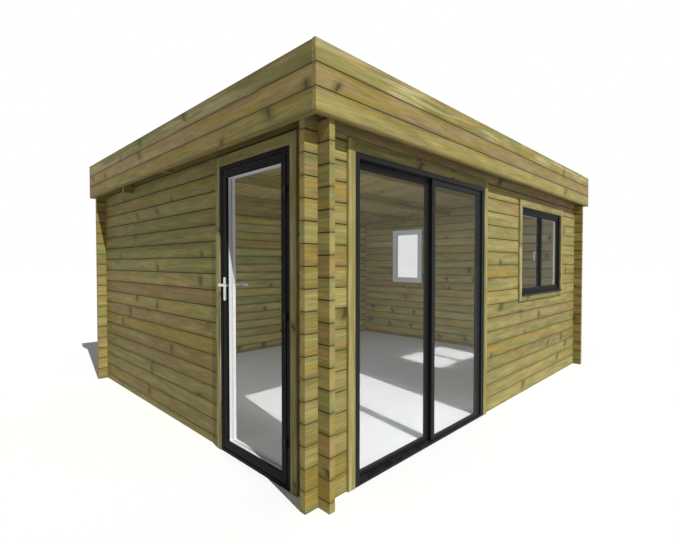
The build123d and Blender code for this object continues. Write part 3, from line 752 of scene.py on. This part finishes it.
def powder_coat(name, tint, colours):
    """Fine textured coat on aluminium."""
    material, wiring, shader = make_material(name, Specular_IOR_Level=0.15)
    vector = wiring.spot()
    coat = wiring.shade(rgba(tint), mottled(wiring, vector, 7.0, 0.88, 1.12))
    coat = dusted(wiring, vector, coat, colours, 0.30)
    grain = grained(wiring, vector, 1600.0)
    finish(wiring, shader, coat, wiring.span(grain, 0.42, 0.60), grain, strength=0.22, depth=0.0002)
    return material


def satin_steel(name, along, across, colours):
    """Brushed stainless steel with lines along one axis."""
    material, wiring, shader = make_material(name, Metallic=1.0)
    place = wiring.place()
    lines = wiring.group("Brushed lines", Along=place[along], Across=place[across])["Lines"]
    tint = wiring.shade(rgba(colours.steel), wiring.span(lines, 0.9, 1.08))
    finish(wiring, shader, tint, wiring.span(lines, 0.22, 0.42), lines, strength=0.12, depth=0.0001)
    return material


def coated_screws(name, colours):
    """Brown coated screw heads."""
    material, wiring, shader = make_material(name, Metallic=0.3)
    vector = wiring.spot()
    tint = wiring.shade(rgba(colours.screw), mottled(wiring, vector, 300.0, 0.8, 1.2))
    finish(wiring, shader, tint, mottled(wiring, vector, 900.0, 0.42, 0.6))
    return material


def moulded_plastic(name, tint, rough_low, rough_high):
    """Moulded plastic or rubber with a faint skin texture."""
    material, wiring, shader = make_material(name)
    vector = wiring.spot()
    skin = grained(wiring, vector, 1400.0)
    tint = wiring.shade(rgba(tint), mottled(wiring, vector, 30.0, 0.9, 1.08))
    finish(wiring, shader, tint, wiring.span(skin, rough_low, rough_high), skin, strength=0.15, depth=0.0001)
    return material


def clear_glass(name, clearness, colours):
    """Pane that lets lamp light straight through, with a thin film of dust where it is less than clear."""
    material, wiring, shader = make_material(
        name, Base_Color=rgba(colours.glass), Roughness=0.0, IOR=1.06, Transmission_Weight=clearness,
    )
    open_pane = wiring.add("ShaderNodeBsdfTransparent")
    open_pane.inputs["Color"].default_value = (1.0, 1.0, 1.0, 1.0)
    shadow = wiring.add("ShaderNodeLightPath").outputs["Is Shadow Ray"]
    wiring.show(wiring.mix(shadow, shader, open_pane))
    return material


def roofing_sheet(name, colours):
    """Matt black roofing with faint ripples, dust and dried puddle edges."""
    material, wiring, shader = make_material(name)
    vector = wiring.spot()
    puddle = wiring.noise(vector, 1.3, 4.0, 0.6)
    rim = wiring.step(abs(puddle - 0.52), 0.030, 0.0)
    sheet = wiring.shade(rgba(colours.membrane), mottled(wiring, vector, 3.0, 0.8, 1.25))
    sheet = dusted(wiring, vector, sheet, colours, 0.45)
    sheet = wiring.blend(rim * 0.07, sheet, rgba(colours.dust))
    ripple = wiring.noise(vector, 600.0, 2.0) * 0.05 + wiring.noise(vector, 2.2, 2.0)
    finish(wiring, shader, sheet, wiring.span(puddle, 0.62, 0.9), ripple, strength=0.5, depth=0.006)
    return material


def painted_floor(name, sizes, colours):
    """Pale painted floor boards along X, with fine joints and a hint of grain."""
    material, wiring, shader = make_material(name, Specular_IOR_Level=0.2)
    place = wiring.place()
    row = place["Y"] / sizes.floor_board
    number = wiring.math("FLOOR", row)
    across = row - number
    edge = wiring.math("MINIMUM", across, 1.0 - across) * sizes.floor_board
    run = wiring.scaled(wiring.chance(number), sizes.floor_run, place["X"])
    butt = wiring.math("PINGPONG", run, sizes.floor_run / 2)
    joint = wiring.math("MAXIMUM", wiring.step(edge, 0.0012, 0.0004), wiring.step(butt, 0.0010, 0.0004))
    board = wiring.scaled(wiring.math("FLOOR", run / sizes.floor_run), 9.1, number)
    grain = wiring.noise(wiring.join(run * 4.0, place["Y"] * 150.0, board), 1.0, 3.0)
    tone = wiring.span(wiring.chance(board), 0.965, 1.0) * wiring.span(grain, 0.97, 1.02)
    tint = wiring.shade(wiring.shade(rgba(colours.floor_paint), tone), wiring.span(joint, 1.0, 0.72))
    relief = joint * -4.0 + grain
    finish(wiring, shader, tint, wiring.span(grain, 0.60, 0.78), relief, strength=0.4, depth=0.0003)
    return material


# Meshes
def dress(node, material, edge=0.0):
    """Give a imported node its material, and round its edges where an edge is given."""
    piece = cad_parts[node]
    piece.data.materials.clear()
    piece.data.materials.append(material)
    if edge:
        bevel = piece.modifiers.new("Softened edges", "BEVEL")
        bevel.width = edge
        bevel.segments = 2
        bevel.limit_method = "ANGLE"
        bevel.angle_limit = math.radians(40)


def middle(node, axis):
    """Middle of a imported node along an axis."""
    low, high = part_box(node)
    return (low[AXES[axis]] + high[AXES[axis]]) / 2


def outer_face(box, axis, outward):
    """Where a box ends along an axis, on the side that outward names."""
    return box[1 if outward > 0 else 0][AXES[axis]]


def box_round(points):
    """Lowest and highest corners of a set of points."""
    low = Vector(min(point[i] for point in points) for i in range(3))
    high = Vector(max(point[i] for point in points) for i in range(3))
    return low, high


def solid_boxes(node):
    """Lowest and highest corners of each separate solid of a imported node."""
    shape = bmesh.new()
    shape.from_mesh(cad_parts[node].data)
    bmesh.ops.remove_doubles(shape, verts=shape.verts, dist=1e-6)
    boxes, seen = [], set()
    for start in shape.verts:
        if start in seen:
            continue
        island, waiting = [], [start]
        seen.add(start)
        while waiting:
            vert = waiting.pop()
            island.append(vert.co.copy())
            for edge in vert.link_edges:
                other = edge.other_vert(vert)
                if other not in seen:
                    seen.add(other)
                    waiting.append(other)
        boxes.append(box_round(island))
    shape.free()
    return sorted(boxes, key=lambda box: tuple(box[0]))


class Form:
    """Points and faces of one new piece, gathered part by part."""

    def __init__(self):
        self.points, self.faces = [], []

    def stack(self, sections, looped=False):
        """Join equal sections, each to the next: closed by caps, or looped from the last to the first."""
        start, count = len(self.points), len(sections[0])
        for section in sections:
            self.points.extend(section)
        last = len(sections) - 1
        for number in range(last + 1 if looped else last):
            this = start + number * count
            following = start + (number + 1) % len(sections) * count
            for corner in range(count):
                after = (corner + 1) % count
                self.faces.append((this + corner, this + after, following + after, following + corner))
        if not looped:
            self.faces.append(tuple(range(start, start + count))[::-1])
            self.faces.append(tuple(range(start + last * count, start + (last + 1) * count)))

    def piece(self, name, materials, body, slot, kinds=()):
        """New mesh piece that rides on a body; the slot is not used. Kinds pick each face's material."""
        mesh = bpy.data.meshes.new(name)
        mesh.from_pydata(self.points, [], self.faces)
        for material in materials:
            mesh.materials.append(material)
        if kinds:
            mesh.polygons.foreach_set("material_index", kinds)
        shape = bmesh.new()
        shape.from_mesh(mesh)
        bmesh.ops.recalc_face_normals(shape, faces=shape.faces)
        shape.to_mesh(mesh)
        shape.free()
        piece = bpy.data.objects.new(name, mesh)
        bpy.context.scene.collection.objects.link(piece)
        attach(piece, body)
        return piece


def rectangle(box, wall_axis, through, deep, inset):
    """Corners of a box's outline in a wall, drawn in by an inset, at one place across the wall."""
    low, high = box
    near, far = low[AXES[wall_axis]] + inset, high[AXES[wall_axis]] - inset
    foot, head = low.z + inset, high.z - inset
    corners = []
    for side, height in ((near, foot), (far, foot), (far, head), (near, head)):
        parts = {wall_axis: side, through: deep, "Z": height}
        corners.append(tuple(parts[axis] for axis in "XYZ"))
    return corners


def lip_round(form, box, wall_axis, through, surface, outward, width, depth):
    """Rubber lip that runs round the inside of a rectangle, on a surface across the through axis."""
    rings = []
    for across, out in LIP_SHARES:
        rings.append(rectangle(box, wall_axis, through, surface + outward * depth * out, width * across))
    form.stack(list(zip(*rings)), looped=True)


def glass_sheet(form, box, wall_axis, through, outer, inner, arris):
    """Flat sheet of glass between an outer and an inner face, with ground edges."""
    step = arris if inner > outer else -arris
    levels = (outer, arris), (outer + step, 0.0), (inner - step, 0.0), (inner, arris)
    form.stack([rectangle(box, wall_axis, through, deep, inset) for deep, inset in levels])


def screw_head(form, place, through, outward, sizes):
    """Domed screw head with a round drive recess, facing along one axis."""
    flat = [axis for axis in "XYZ" if axis != through]
    rings = []
    for size, height in SCREW_RING_SHARES:
        ring = []
        for number in range(SCREW_SIDES):
            turn = math.tau * number / SCREW_SIDES
            point = Vector(place)
            point[AXES[flat[0]]] += sizes.screw_radius * size * math.cos(turn)
            point[AXES[flat[1]]] += sizes.screw_radius * size * math.sin(turn)
            point[AXES[through]] += outward * sizes.screw_rise * height
            ring.append(tuple(point))
        rings.append(ring)
    form.stack(rings)


def spread(low, high, inset, count):
    """Evenly spread places between two ends, with an inset at each end."""
    return [low + inset + (high - low - 2 * inset) * number / (count - 1) for number in range(count)]


def settings(context):
    """The sizes and the colours."""
    return context.scene.office_sizes, context.scene.office_colours


class OFFICE_OT_log_walls(bpy.types.Operator):
    """Finish the log walls and the purlins in treated pine, log by log"""

    bl_idname = "office.log_walls"
    bl_label = "Log walls"

    def execute(self, context):
        sizes, colours = settings(context)
        # The top log in front takes the heartwood tints, painted lighter to stand in for light under the
        # fascia
        heartwood_painted_lighter = {"Straw": rgba(colours.heartwood_painted_lighter), "Green": rgba(colours.pink_pine)}
        course = sizes.course
        walls = [(node, "X", "Y", 0.0) for node in LONG_WALLS]
        walls += [(node, "Y", "X", course / 2) for node in SIDE_WALLS]
        for seed, (node, along, through, first) in enumerate(walls, 1):
            tints = heartwood_painted_lighter if node in HEARTWOOD_PAINTED_LIGHTER_WALLS else {}
            centre = middle(node, through)
            pine = boarded_pine(f"Pine of {node}", along, "Z", through, course, first, centre, seed, **tints)
            dress(node, pine)
        foot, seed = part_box("purlins")[0].z, len(walls) + 1
        dress("purlins", boarded_pine("Pine of purlins", "X", "Z", "Y", course, foot, 0.0, seed, seam=0.0))
        return {"FINISHED"}


class OFFICE_OT_fascia(bpy.types.Operator):
    """Finish the fascia boards and the uprights behind them"""

    bl_idname = "office.fascia"
    bl_label = "Fascia"

    def execute(self, context):
        sizes, colours = settings(context)
        bases = colours.straw_pine, colours.pink_pine, colours.pale_pine
        height = sizes.fascia_course
        for number, (node, (along, through)) in enumerate(FASCIAS.items()):
            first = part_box(node)[1].z - len(bases) * height
            pine = boarded_pine(
                f"Pine of {node}", along, "Z", through, height, first, middle(node, through),
                FASCIA_SEED + number, seam=0.8, bases=bases,
            )
            dress(node, pine)
        pine = boarded_pine(
            "Pine of fascia battens", "Z", "X", "Y", sizes.batten_cell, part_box("fascia_battens")[0].x, 0.0,
            BATTEN_SEED, seam=0.0,
        )
        dress("fascia_battens", pine)
        return {"FINISHED"}


class OFFICE_OT_roof(bpy.types.Operator):
    """Lay the roof boards with grooved edges, and the roofing with its laps"""

    bl_idname = "office.roof"
    bl_label = "Roof"

    def execute(self, context):
        sizes, colours = settings(context)
        low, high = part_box("roof_deck")
        fall = high.z - low.z - sizes.deck_thickness
        self.lay_boards(low, high, fall, sizes, colours)
        self.lay_sheets(fall, sizes, colours)
        return {"FINISHED"}

    def lay_boards(self, low, high, fall, sizes, colours):
        """Roof boards from front to back, with chamfered lower edges."""
        count = round((high.x - low.x) / sizes.ceiling_board)
        width = (high.x - low.x) / count
        groove, top = sizes.ceiling_groove, sizes.deck_thickness
        form = Form()
        for number in range(count):
            left = low.x + number * width + sizes.ceiling_gap
            right = low.x + (number + 1) * width - sizes.ceiling_gap
            profile = [
                (left + groove, 0.0), (right - groove, 0.0), (right, groove),
                (right, top), (left, top), (left, groove),
            ]
            front = [(x, low.y, low.z + fall + rise) for x, rise in profile]
            back = [(x, high.y, low.z + rise) for x, rise in profile]
            form.stack([front, back])
        pine = boarded_pine(
            "Pine of roof boards", "Y", "X", "Z", width, low.x, low.z + fall, ROOF_SEED,
            seam=0.6, bases=[colours.tan_pine],
        )
        boards = form.piece("roof_boards", [pine], "cabin", "roof_wood")
        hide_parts("roof_deck")

    def lay_sheets(self, fall, sizes, colours):
        """Roofing in sheets, with a lap where two sheets meet."""
        sheet = roofing_sheet("Roofing", colours)
        dress("roof_membrane", sheet)
        low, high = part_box("roof_membrane")
        clear = sizes.lap_width
        drop = clear * fall / (high.y - low.y)
        half, top = sizes.lap_width / 2, sizes.lap_width / 2 * LAP_TOP_SHARE
        count = round((high.x - low.x) / sizes.roof_sheet)
        form = Form()
        for number in range(1, count):
            centre = low.x + (high.x - low.x) * number / count
            profile = [
                (centre - half, 0.0), (centre + half, 0.0),
                (centre + top, sizes.lap_thickness), (centre - top, sizes.lap_thickness),
            ]
            front = [(x, low.y + clear, high.z - drop + rise) for x, rise in profile]
            back = [(x, high.y - clear, high.z - fall + drop + rise) for x, rise in profile]
            form.stack([front, back])
        form.piece("roofing_laps", [sheet], "cabin", "roof_membrane")


class OFFICE_OT_floor(bpy.types.Operator):
    """Finish the floor as pale painted boards"""

    bl_idname = "office.floor"
    bl_label = "Floor"

    def execute(self, context):
        dress("floor", painted_floor("Painted floor boards", *settings(context)))
        return {"FINISHED"}


class OFFICE_OT_trims(bpy.types.Operator):
    """Finish the trim boards round the openings, with their screws"""

    bl_idname = "office.trims"
    bl_label = "Trim boards"

    def execute(self, context):
        sizes, colours = settings(context)
        form = Form()
        for number, (node, (wall_axis, through, outward)) in enumerate(TRIMS.items()):
            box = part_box(node)
            low = box[0][AXES[wall_axis]] + sizes.trim_width
            high = box[1][AXES[wall_axis]] - sizes.trim_width
            seed = TRIM_SEED + number
            dress(node, framing_pine(f"Pine of {node}", wall_axis, through, low, high, seed, sizes, colours))
            surface = outer_face(box, through, outward)
            for board in solid_boxes(node):
                self.drive_screws(form, board, wall_axis, through, surface, outward, sizes)
        form.piece("trim_screws", [coated_screws("Coated trim screws", colours)], "cabin", "trim_wood")
        return {"FINISHED"}

    def drive_screws(self, form, board, wall_axis, through, surface, outward, sizes):
        """Row of screws along the middle of one trim board."""
        low, high = board
        size = high - low
        long_axis = AXES["Z" if size.z > size[AXES[wall_axis]] else wall_axis]
        count = max(2, math.ceil(size[long_axis] / sizes.screw_spacing) + 1)
        for run in spread(low[long_axis], high[long_axis], sizes.screw_inset, count):
            place = (low + high) / 2
            place[long_axis] = run
            place[AXES[through]] = surface
            screw_head(form, place, through, outward, sizes)


class OFFICE_OT_frames(bpy.types.Operator):
    """Finish the frames: anthracite outside, white inside, and powder coat on the sliding door"""

    bl_idname = "office.frames"
    bl_label = "Frames"

    def execute(self, context):
        sizes, colours = settings(context)
        for node, (axis, outward) in FOILED_FRAMES.items():
            boundary = outer_face(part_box(node), axis, outward) - outward * sizes.foil_wrap
            meeting = None
            if node == "front_window_sashes":
                meeting = "X", middle(node, "X"), sizes.meeting_width / 2
            foil = foiled_plastic(f"Foil of {node}", axis, boundary, outward < 0, colours, meeting)
            dress(node, foil, sizes.soft_edge)
        sill_coat = powder_coat("Anthracite sill", colours.dark_frame, colours)
        for node in SILLS:
            dress(node, sill_coat, sizes.soft_edge)
        coat = powder_coat("Anthracite powder coat", colours.dark_metal, colours)
        for node in METAL_FRAMES:
            dress(node, coat, sizes.soft_edge)
        dress("sliding_door_runners", moulded_plastic("Runner nylon", colours.rubber, 0.4, 0.55))
        return {"FINISHED"}


class OFFICE_OT_glazing(bpy.types.Operator):
    """Fit sheets of clear glass with rubber lips on both faces, and the seal on the door stop"""

    bl_idname = "office.glazing"
    bl_label = "Glazing"

    def execute(self, context):
        sizes, colours = settings(context)
        door_glass = clear_glass("Door glass", colours.door_clearness, colours)
        window_glass = clear_glass("Window glass", colours.window_clearness, colours)
        rubber = moulded_plastic("Gasket rubber", colours.rubber, 0.6, 0.78)
        pale_rubber = moulded_plastic("Pale gasket rubber", colours.pale_rubber, 0.6, 0.78)
        for node, (wall_axis, through, outward, body) in PANES.items():
            sheets, lips = Form(), Form()
            for box in solid_boxes(node):
                outer = outer_face(box, through, outward)
                inner = outer - outward * sizes.sheet_thickness
                glass_sheet(sheets, box, wall_axis, through, outer, inner, sizes.sheet_arris)
                for surface, side in ((outer, outward), (inner, -outward)):
                    lip_round(
                        lips, box, wall_axis, through, surface, side, sizes.gasket_width, sizes.gasket_depth,
                    )
            glass = window_glass if "window" in node else door_glass
            pane = sheets.piece(f"{node}_sheet", [glass], body, "glass")
            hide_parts(node)
            lips.piece(f"{node}_gaskets", [pale_rubber if body == "door" else rubber], body, "dark_frame")
        self.fit_seal(sizes, rubber)
        return {"FINISHED"}

    def fit_seal(self, sizes, rubber):
        """Seal round the face of the door stop."""
        corners = []
        for low, high in solid_boxes("door_frame"):
            if high.x - low.x < sizes.stop_limit:
                corners += [low, high]
        stop = box_round(corners)
        form = Form()
        lip_round(form, stop, "Y", "X", stop[0].x, -1, 2 * sizes.seal_width, sizes.seal_width)
        form.piece("side_door_seal", [rubber], "cabin", "dark_frame")


class OFFICE_OT_hardware(bpy.types.Operator):
    """Finish handles and hinges, and add the lock barrel on each side of the door"""

    bl_idname = "office.hardware"
    bl_label = "Handles and hinges"

    def execute(self, context):
        sizes, colours = settings(context)
        steel = satin_steel("Satin handle steel", "Y", "Z", colours)
        slot_black = moulded_plastic("Key slot", colours.rubber, 0.5, 0.7)
        for node, outward in (("door_handle_outside", -1), ("door_handle_inside", 1)):
            dress(node, steel, sizes.handle_edge)
            low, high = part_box(node)
            face = outer_face((low, high), "X", -outward) + outward * sizes.plate_thickness
            centre = face, high.y - sizes.plate_width / 2, low.z + sizes.cylinder_height
            self.add_lock(node.replace("handle", "lock"), centre, outward, sizes, [steel, slot_black])
        hinge = powder_coat("Anthracite hinge", colours.dark_metal, colours)
        for node in HINGES:
            dress(node, hinge)
        white = moulded_plastic("White handle", colours.white_frame, 0.22, 0.35)
        for node in WINDOW_HANDLES:
            dress(node, white, sizes.handle_edge)
        return {"FINISHED"}

    def add_lock(self, name, centre, outward, sizes, materials):
        """Lock barrel: a round top with a narrow foot, and the key slot in its middle."""
        radius, rise = sizes.cylinder_radius, outward * sizes.cylinder_rise
        foot, drop = radius * LOCK_FOOT_SHARE, radius * LOCK_DROP_SHARE
        outline = []
        for number in range(LOCK_ARC_STEPS + 1):
            turn = LOCK_START + LOCK_ARC * number / LOCK_ARC_STEPS
            outline.append((radius * math.cos(turn), radius * math.sin(turn)))
        for number in range(LOCK_FOOT_STEPS + 1):
            turn = math.pi + math.pi * number / LOCK_FOOT_STEPS
            outline.append((foot * math.cos(turn), foot * math.sin(turn) - drop))
        half, tall = radius * SLOT_WIDTH_SHARE, radius * SLOT_HEIGHT_SHARE
        slot = [(-half, -tall), (half, -tall), (half, tall), (-half, tall)]
        form = Form()
        kinds = []
        for kind, (flat, shares) in enumerate(((outline, LOCK_RISE_SHARES), (slot, SLOT_RISE_SHARES))):
            sections = []
            for reach in shares:
                sections.append([(centre[0] + rise * reach, centre[1] + y, centre[2] + z) for y, z in flat])
            form.stack(sections)
            kinds += [kind] * (len(form.faces) - len(kinds))
        form.piece(name, materials, "door", "handle_steel", kinds)


class OFFICE_OT_stage(bpy.types.Operator):
    """Set the pale floor, the lamps, the even sky and the camera"""

    bl_idname = "office.stage"
    bl_label = "Stage"

    def execute(self, context):
        stage = context.scene.office_stage
        self.add_floor(context, stage)
        self.add_sun(context, stage)
        self.add_sky(context, stage)
        self.add_room_lights(context, stage)
        self.add_camera(context, stage)
        context.scene.view_settings.view_transform = "Standard"
        return {"FINISHED"}

    def seen_rays(self, wiring):
        """One for rays that show the backdrop: from the camera, mirrored, or bent through a pane."""
        path = wiring.values(wiring.add("ShaderNodeLightPath").outputs)
        seen = wiring.math("MAXIMUM", path["Is Camera Ray"], path["Is Transmission Ray"])
        seen = wiring.math("MAXIMUM", seen, path["Is Glossy Ray"])
        return seen * (path["Diffuse Depth"] < 0.5)

    def add_floor(self, context, stage):
        """Plain floor that shows white where it is lit and keeps the shadow."""
        reach = stage.floor_reach
        corners = [(-reach, -reach, 0.0), (reach, -reach, 0.0), (reach, reach, 0.0), (-reach, reach, 0.0)]
        mesh = bpy.data.meshes.new("stage_floor")
        mesh.from_pydata(corners, [], [(0, 1, 2, 3)])
        floor = bpy.data.objects.new("stage_floor", mesh)
        context.scene.collection.objects.link(floor)
        material = bpy.data.materials.new("Stage floor")
        wiring = empty_wiring(material)
        bounce, shown = wiring.add("ShaderNodeBsdfDiffuse"), wiring.add("ShaderNodeBsdfDiffuse")
        bounce.inputs["Color"].default_value = rgba([stage.floor_bounce] * 3)
        shown.inputs["Color"].default_value = rgba([stage.floor_seen] * 3)
        wiring.show(wiring.mix(self.seen_rays(wiring), bounce, shown))
        mesh.materials.append(material)

    def add_sun(self, context, stage):
        """One sun lamp."""
        lamp = bpy.data.lights.new("Sun", "SUN")
        lamp.energy = stage.sun_strength
        lamp.angle = stage.sun_softness
        sun = bpy.data.objects.new("Sun", lamp)
        sun.rotation_mode = "QUATERNION"
        sun.rotation_quaternion = Vector(stage.sun_travel).to_track_quat("-Z", "Y")
        context.scene.collection.objects.link(sun)

    def add_sky(self, context, stage):
        """Even sky light with a white backdrop."""
        world = bpy.data.worlds.new("Even sky")
        wiring = empty_wiring(world)
        sky, backdrop = wiring.add("ShaderNodeBackground"), wiring.add("ShaderNodeBackground")
        for node in (sky, backdrop):
            node.inputs["Color"].default_value = (1.0, 1.0, 1.0, 1.0)
        sky.inputs["Strength"].default_value = stage.sky_strength
        wiring.show(wiring.mix(self.seen_rays(wiring), sky, backdrop), "ShaderNodeOutputWorld")
        context.scene.world = world

    def add_room_lights(self, context, stage):
        """Soft lamps that fill the room from below, above, the front and the left. No glass shows them."""
        low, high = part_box("floor")
        gap = stage.light_gap
        foot, head = high.z + gap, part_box("purlins")[0].z - gap
        centre = (low + high) / 2
        width, depth, tall = high.x - low.x, high.y - low.y, head - foot
        level = (foot + head) / 2
        front_half = (low.x + centre.x) / 2, low.y + gap, level
        left_half = low.x + gap, (centre.y + high.y) / 2, level
        plan, quarter = (width, depth), math.pi / 2
        lamps = (
            ("Room light", stage.room_light, (centre.x, centre.y, foot), plan, (math.pi, 0.0, 0.0)),
            ("Ceiling light", stage.ceiling_light, (centre.x, centre.y, head), plan, (0.0, 0.0, 0.0)),
            ("Front light", stage.front_light, front_half, (width / 2, tall), (quarter, 0.0, 0.0)),
            ("Side light", stage.side_light, left_half, (tall, depth / 2), (0.0, -quarter, 0.0)),
        )
        for name, power, place, size, turn in lamps:
            lamp = bpy.data.lights.new(name, "AREA")
            lamp.shape = "RECTANGLE"
            lamp.size, lamp.size_y = size
            lamp.energy = power
            lamp.color = stage.ceiling_tint if name == "Ceiling light" else stage.room_tint
            soft = bpy.data.objects.new(name, lamp)
            soft.location = place
            soft.rotation_euler = turn
            soft.visible_camera = False
            soft.visible_glossy = False
            soft.visible_transmission = False
            context.scene.collection.objects.link(soft)

    def add_camera(self, context, stage):
        """Camera at the photograph's viewing angle."""
        data = bpy.data.cameras.new("Camera")
        data.lens = stage.camera_lens
        data.clip_end = 4 * stage.floor_reach
        camera = bpy.data.objects.new("Camera", data)
        level = math.cos(stage.camera_pitch)
        gaze = Vector((
            level * math.cos(stage.camera_yaw),
            level * math.sin(stage.camera_yaw),
            -math.sin(stage.camera_pitch),
        ))
        camera.location = stage.camera_place
        camera.rotation_mode = "QUATERNION"
        camera.rotation_quaternion = gaze.to_track_quat("-Z", "Y")
        context.scene.collection.objects.link(camera)
        context.scene.camera = camera


STEPS = (
    OFFICE_OT_log_walls,
    OFFICE_OT_fascia,
    OFFICE_OT_roof,
    OFFICE_OT_floor,
    OFFICE_OT_trims,
    OFFICE_OT_frames,
    OFFICE_OT_glazing,
    OFFICE_OT_hardware,
    OFFICE_OT_stage,
)


class OFFICE_PT_panel(bpy.types.Panel):
    """Lists the office's steps in the sidebar"""

    bl_idname = "OFFICE_PT_panel"
    bl_label = "Garden office"
    bl_space_type = "VIEW_3D"
    bl_region_type = "UI"
    bl_category = "Office"

    def draw(self, context):
        for step in STEPS:
            self.layout.operator(step.bl_idname)


CLASSES = (OfficeSizes, OfficeColours, OfficeStage, *STEPS, OFFICE_PT_panel)


def register():
    """Register the classes and put the settings on the scene."""
    for cls in CLASSES:
        bpy.utils.register_class(cls)
    bpy.types.Scene.office_sizes = PointerProperty(type=OfficeSizes)
    bpy.types.Scene.office_colours = PointerProperty(type=OfficeColours)
    bpy.types.Scene.office_stage = PointerProperty(type=OfficeStage)


def unregister():
    """Take the settings and the classes away again."""
    del bpy.types.Scene.office_stage
    del bpy.types.Scene.office_colours
    del bpy.types.Scene.office_sizes
    for cls in reversed(CLASSES):
        bpy.utils.unregister_class(cls)


def main():
    """Dress the office, step by step."""
    register()
    scene = bpy.context.scene
    build_groups(scene.office_sizes, scene.office_colours)
    bpy.ops.office.log_walls()
    bpy.ops.office.fascia()
    bpy.ops.office.roof()
    bpy.ops.office.floor()
    bpy.ops.office.trims()
    bpy.ops.office.frames()
    bpy.ops.office.glazing()
    bpy.ops.office.hardware()
    bpy.ops.office.stage()


if __name__ == "__main__":
    main()
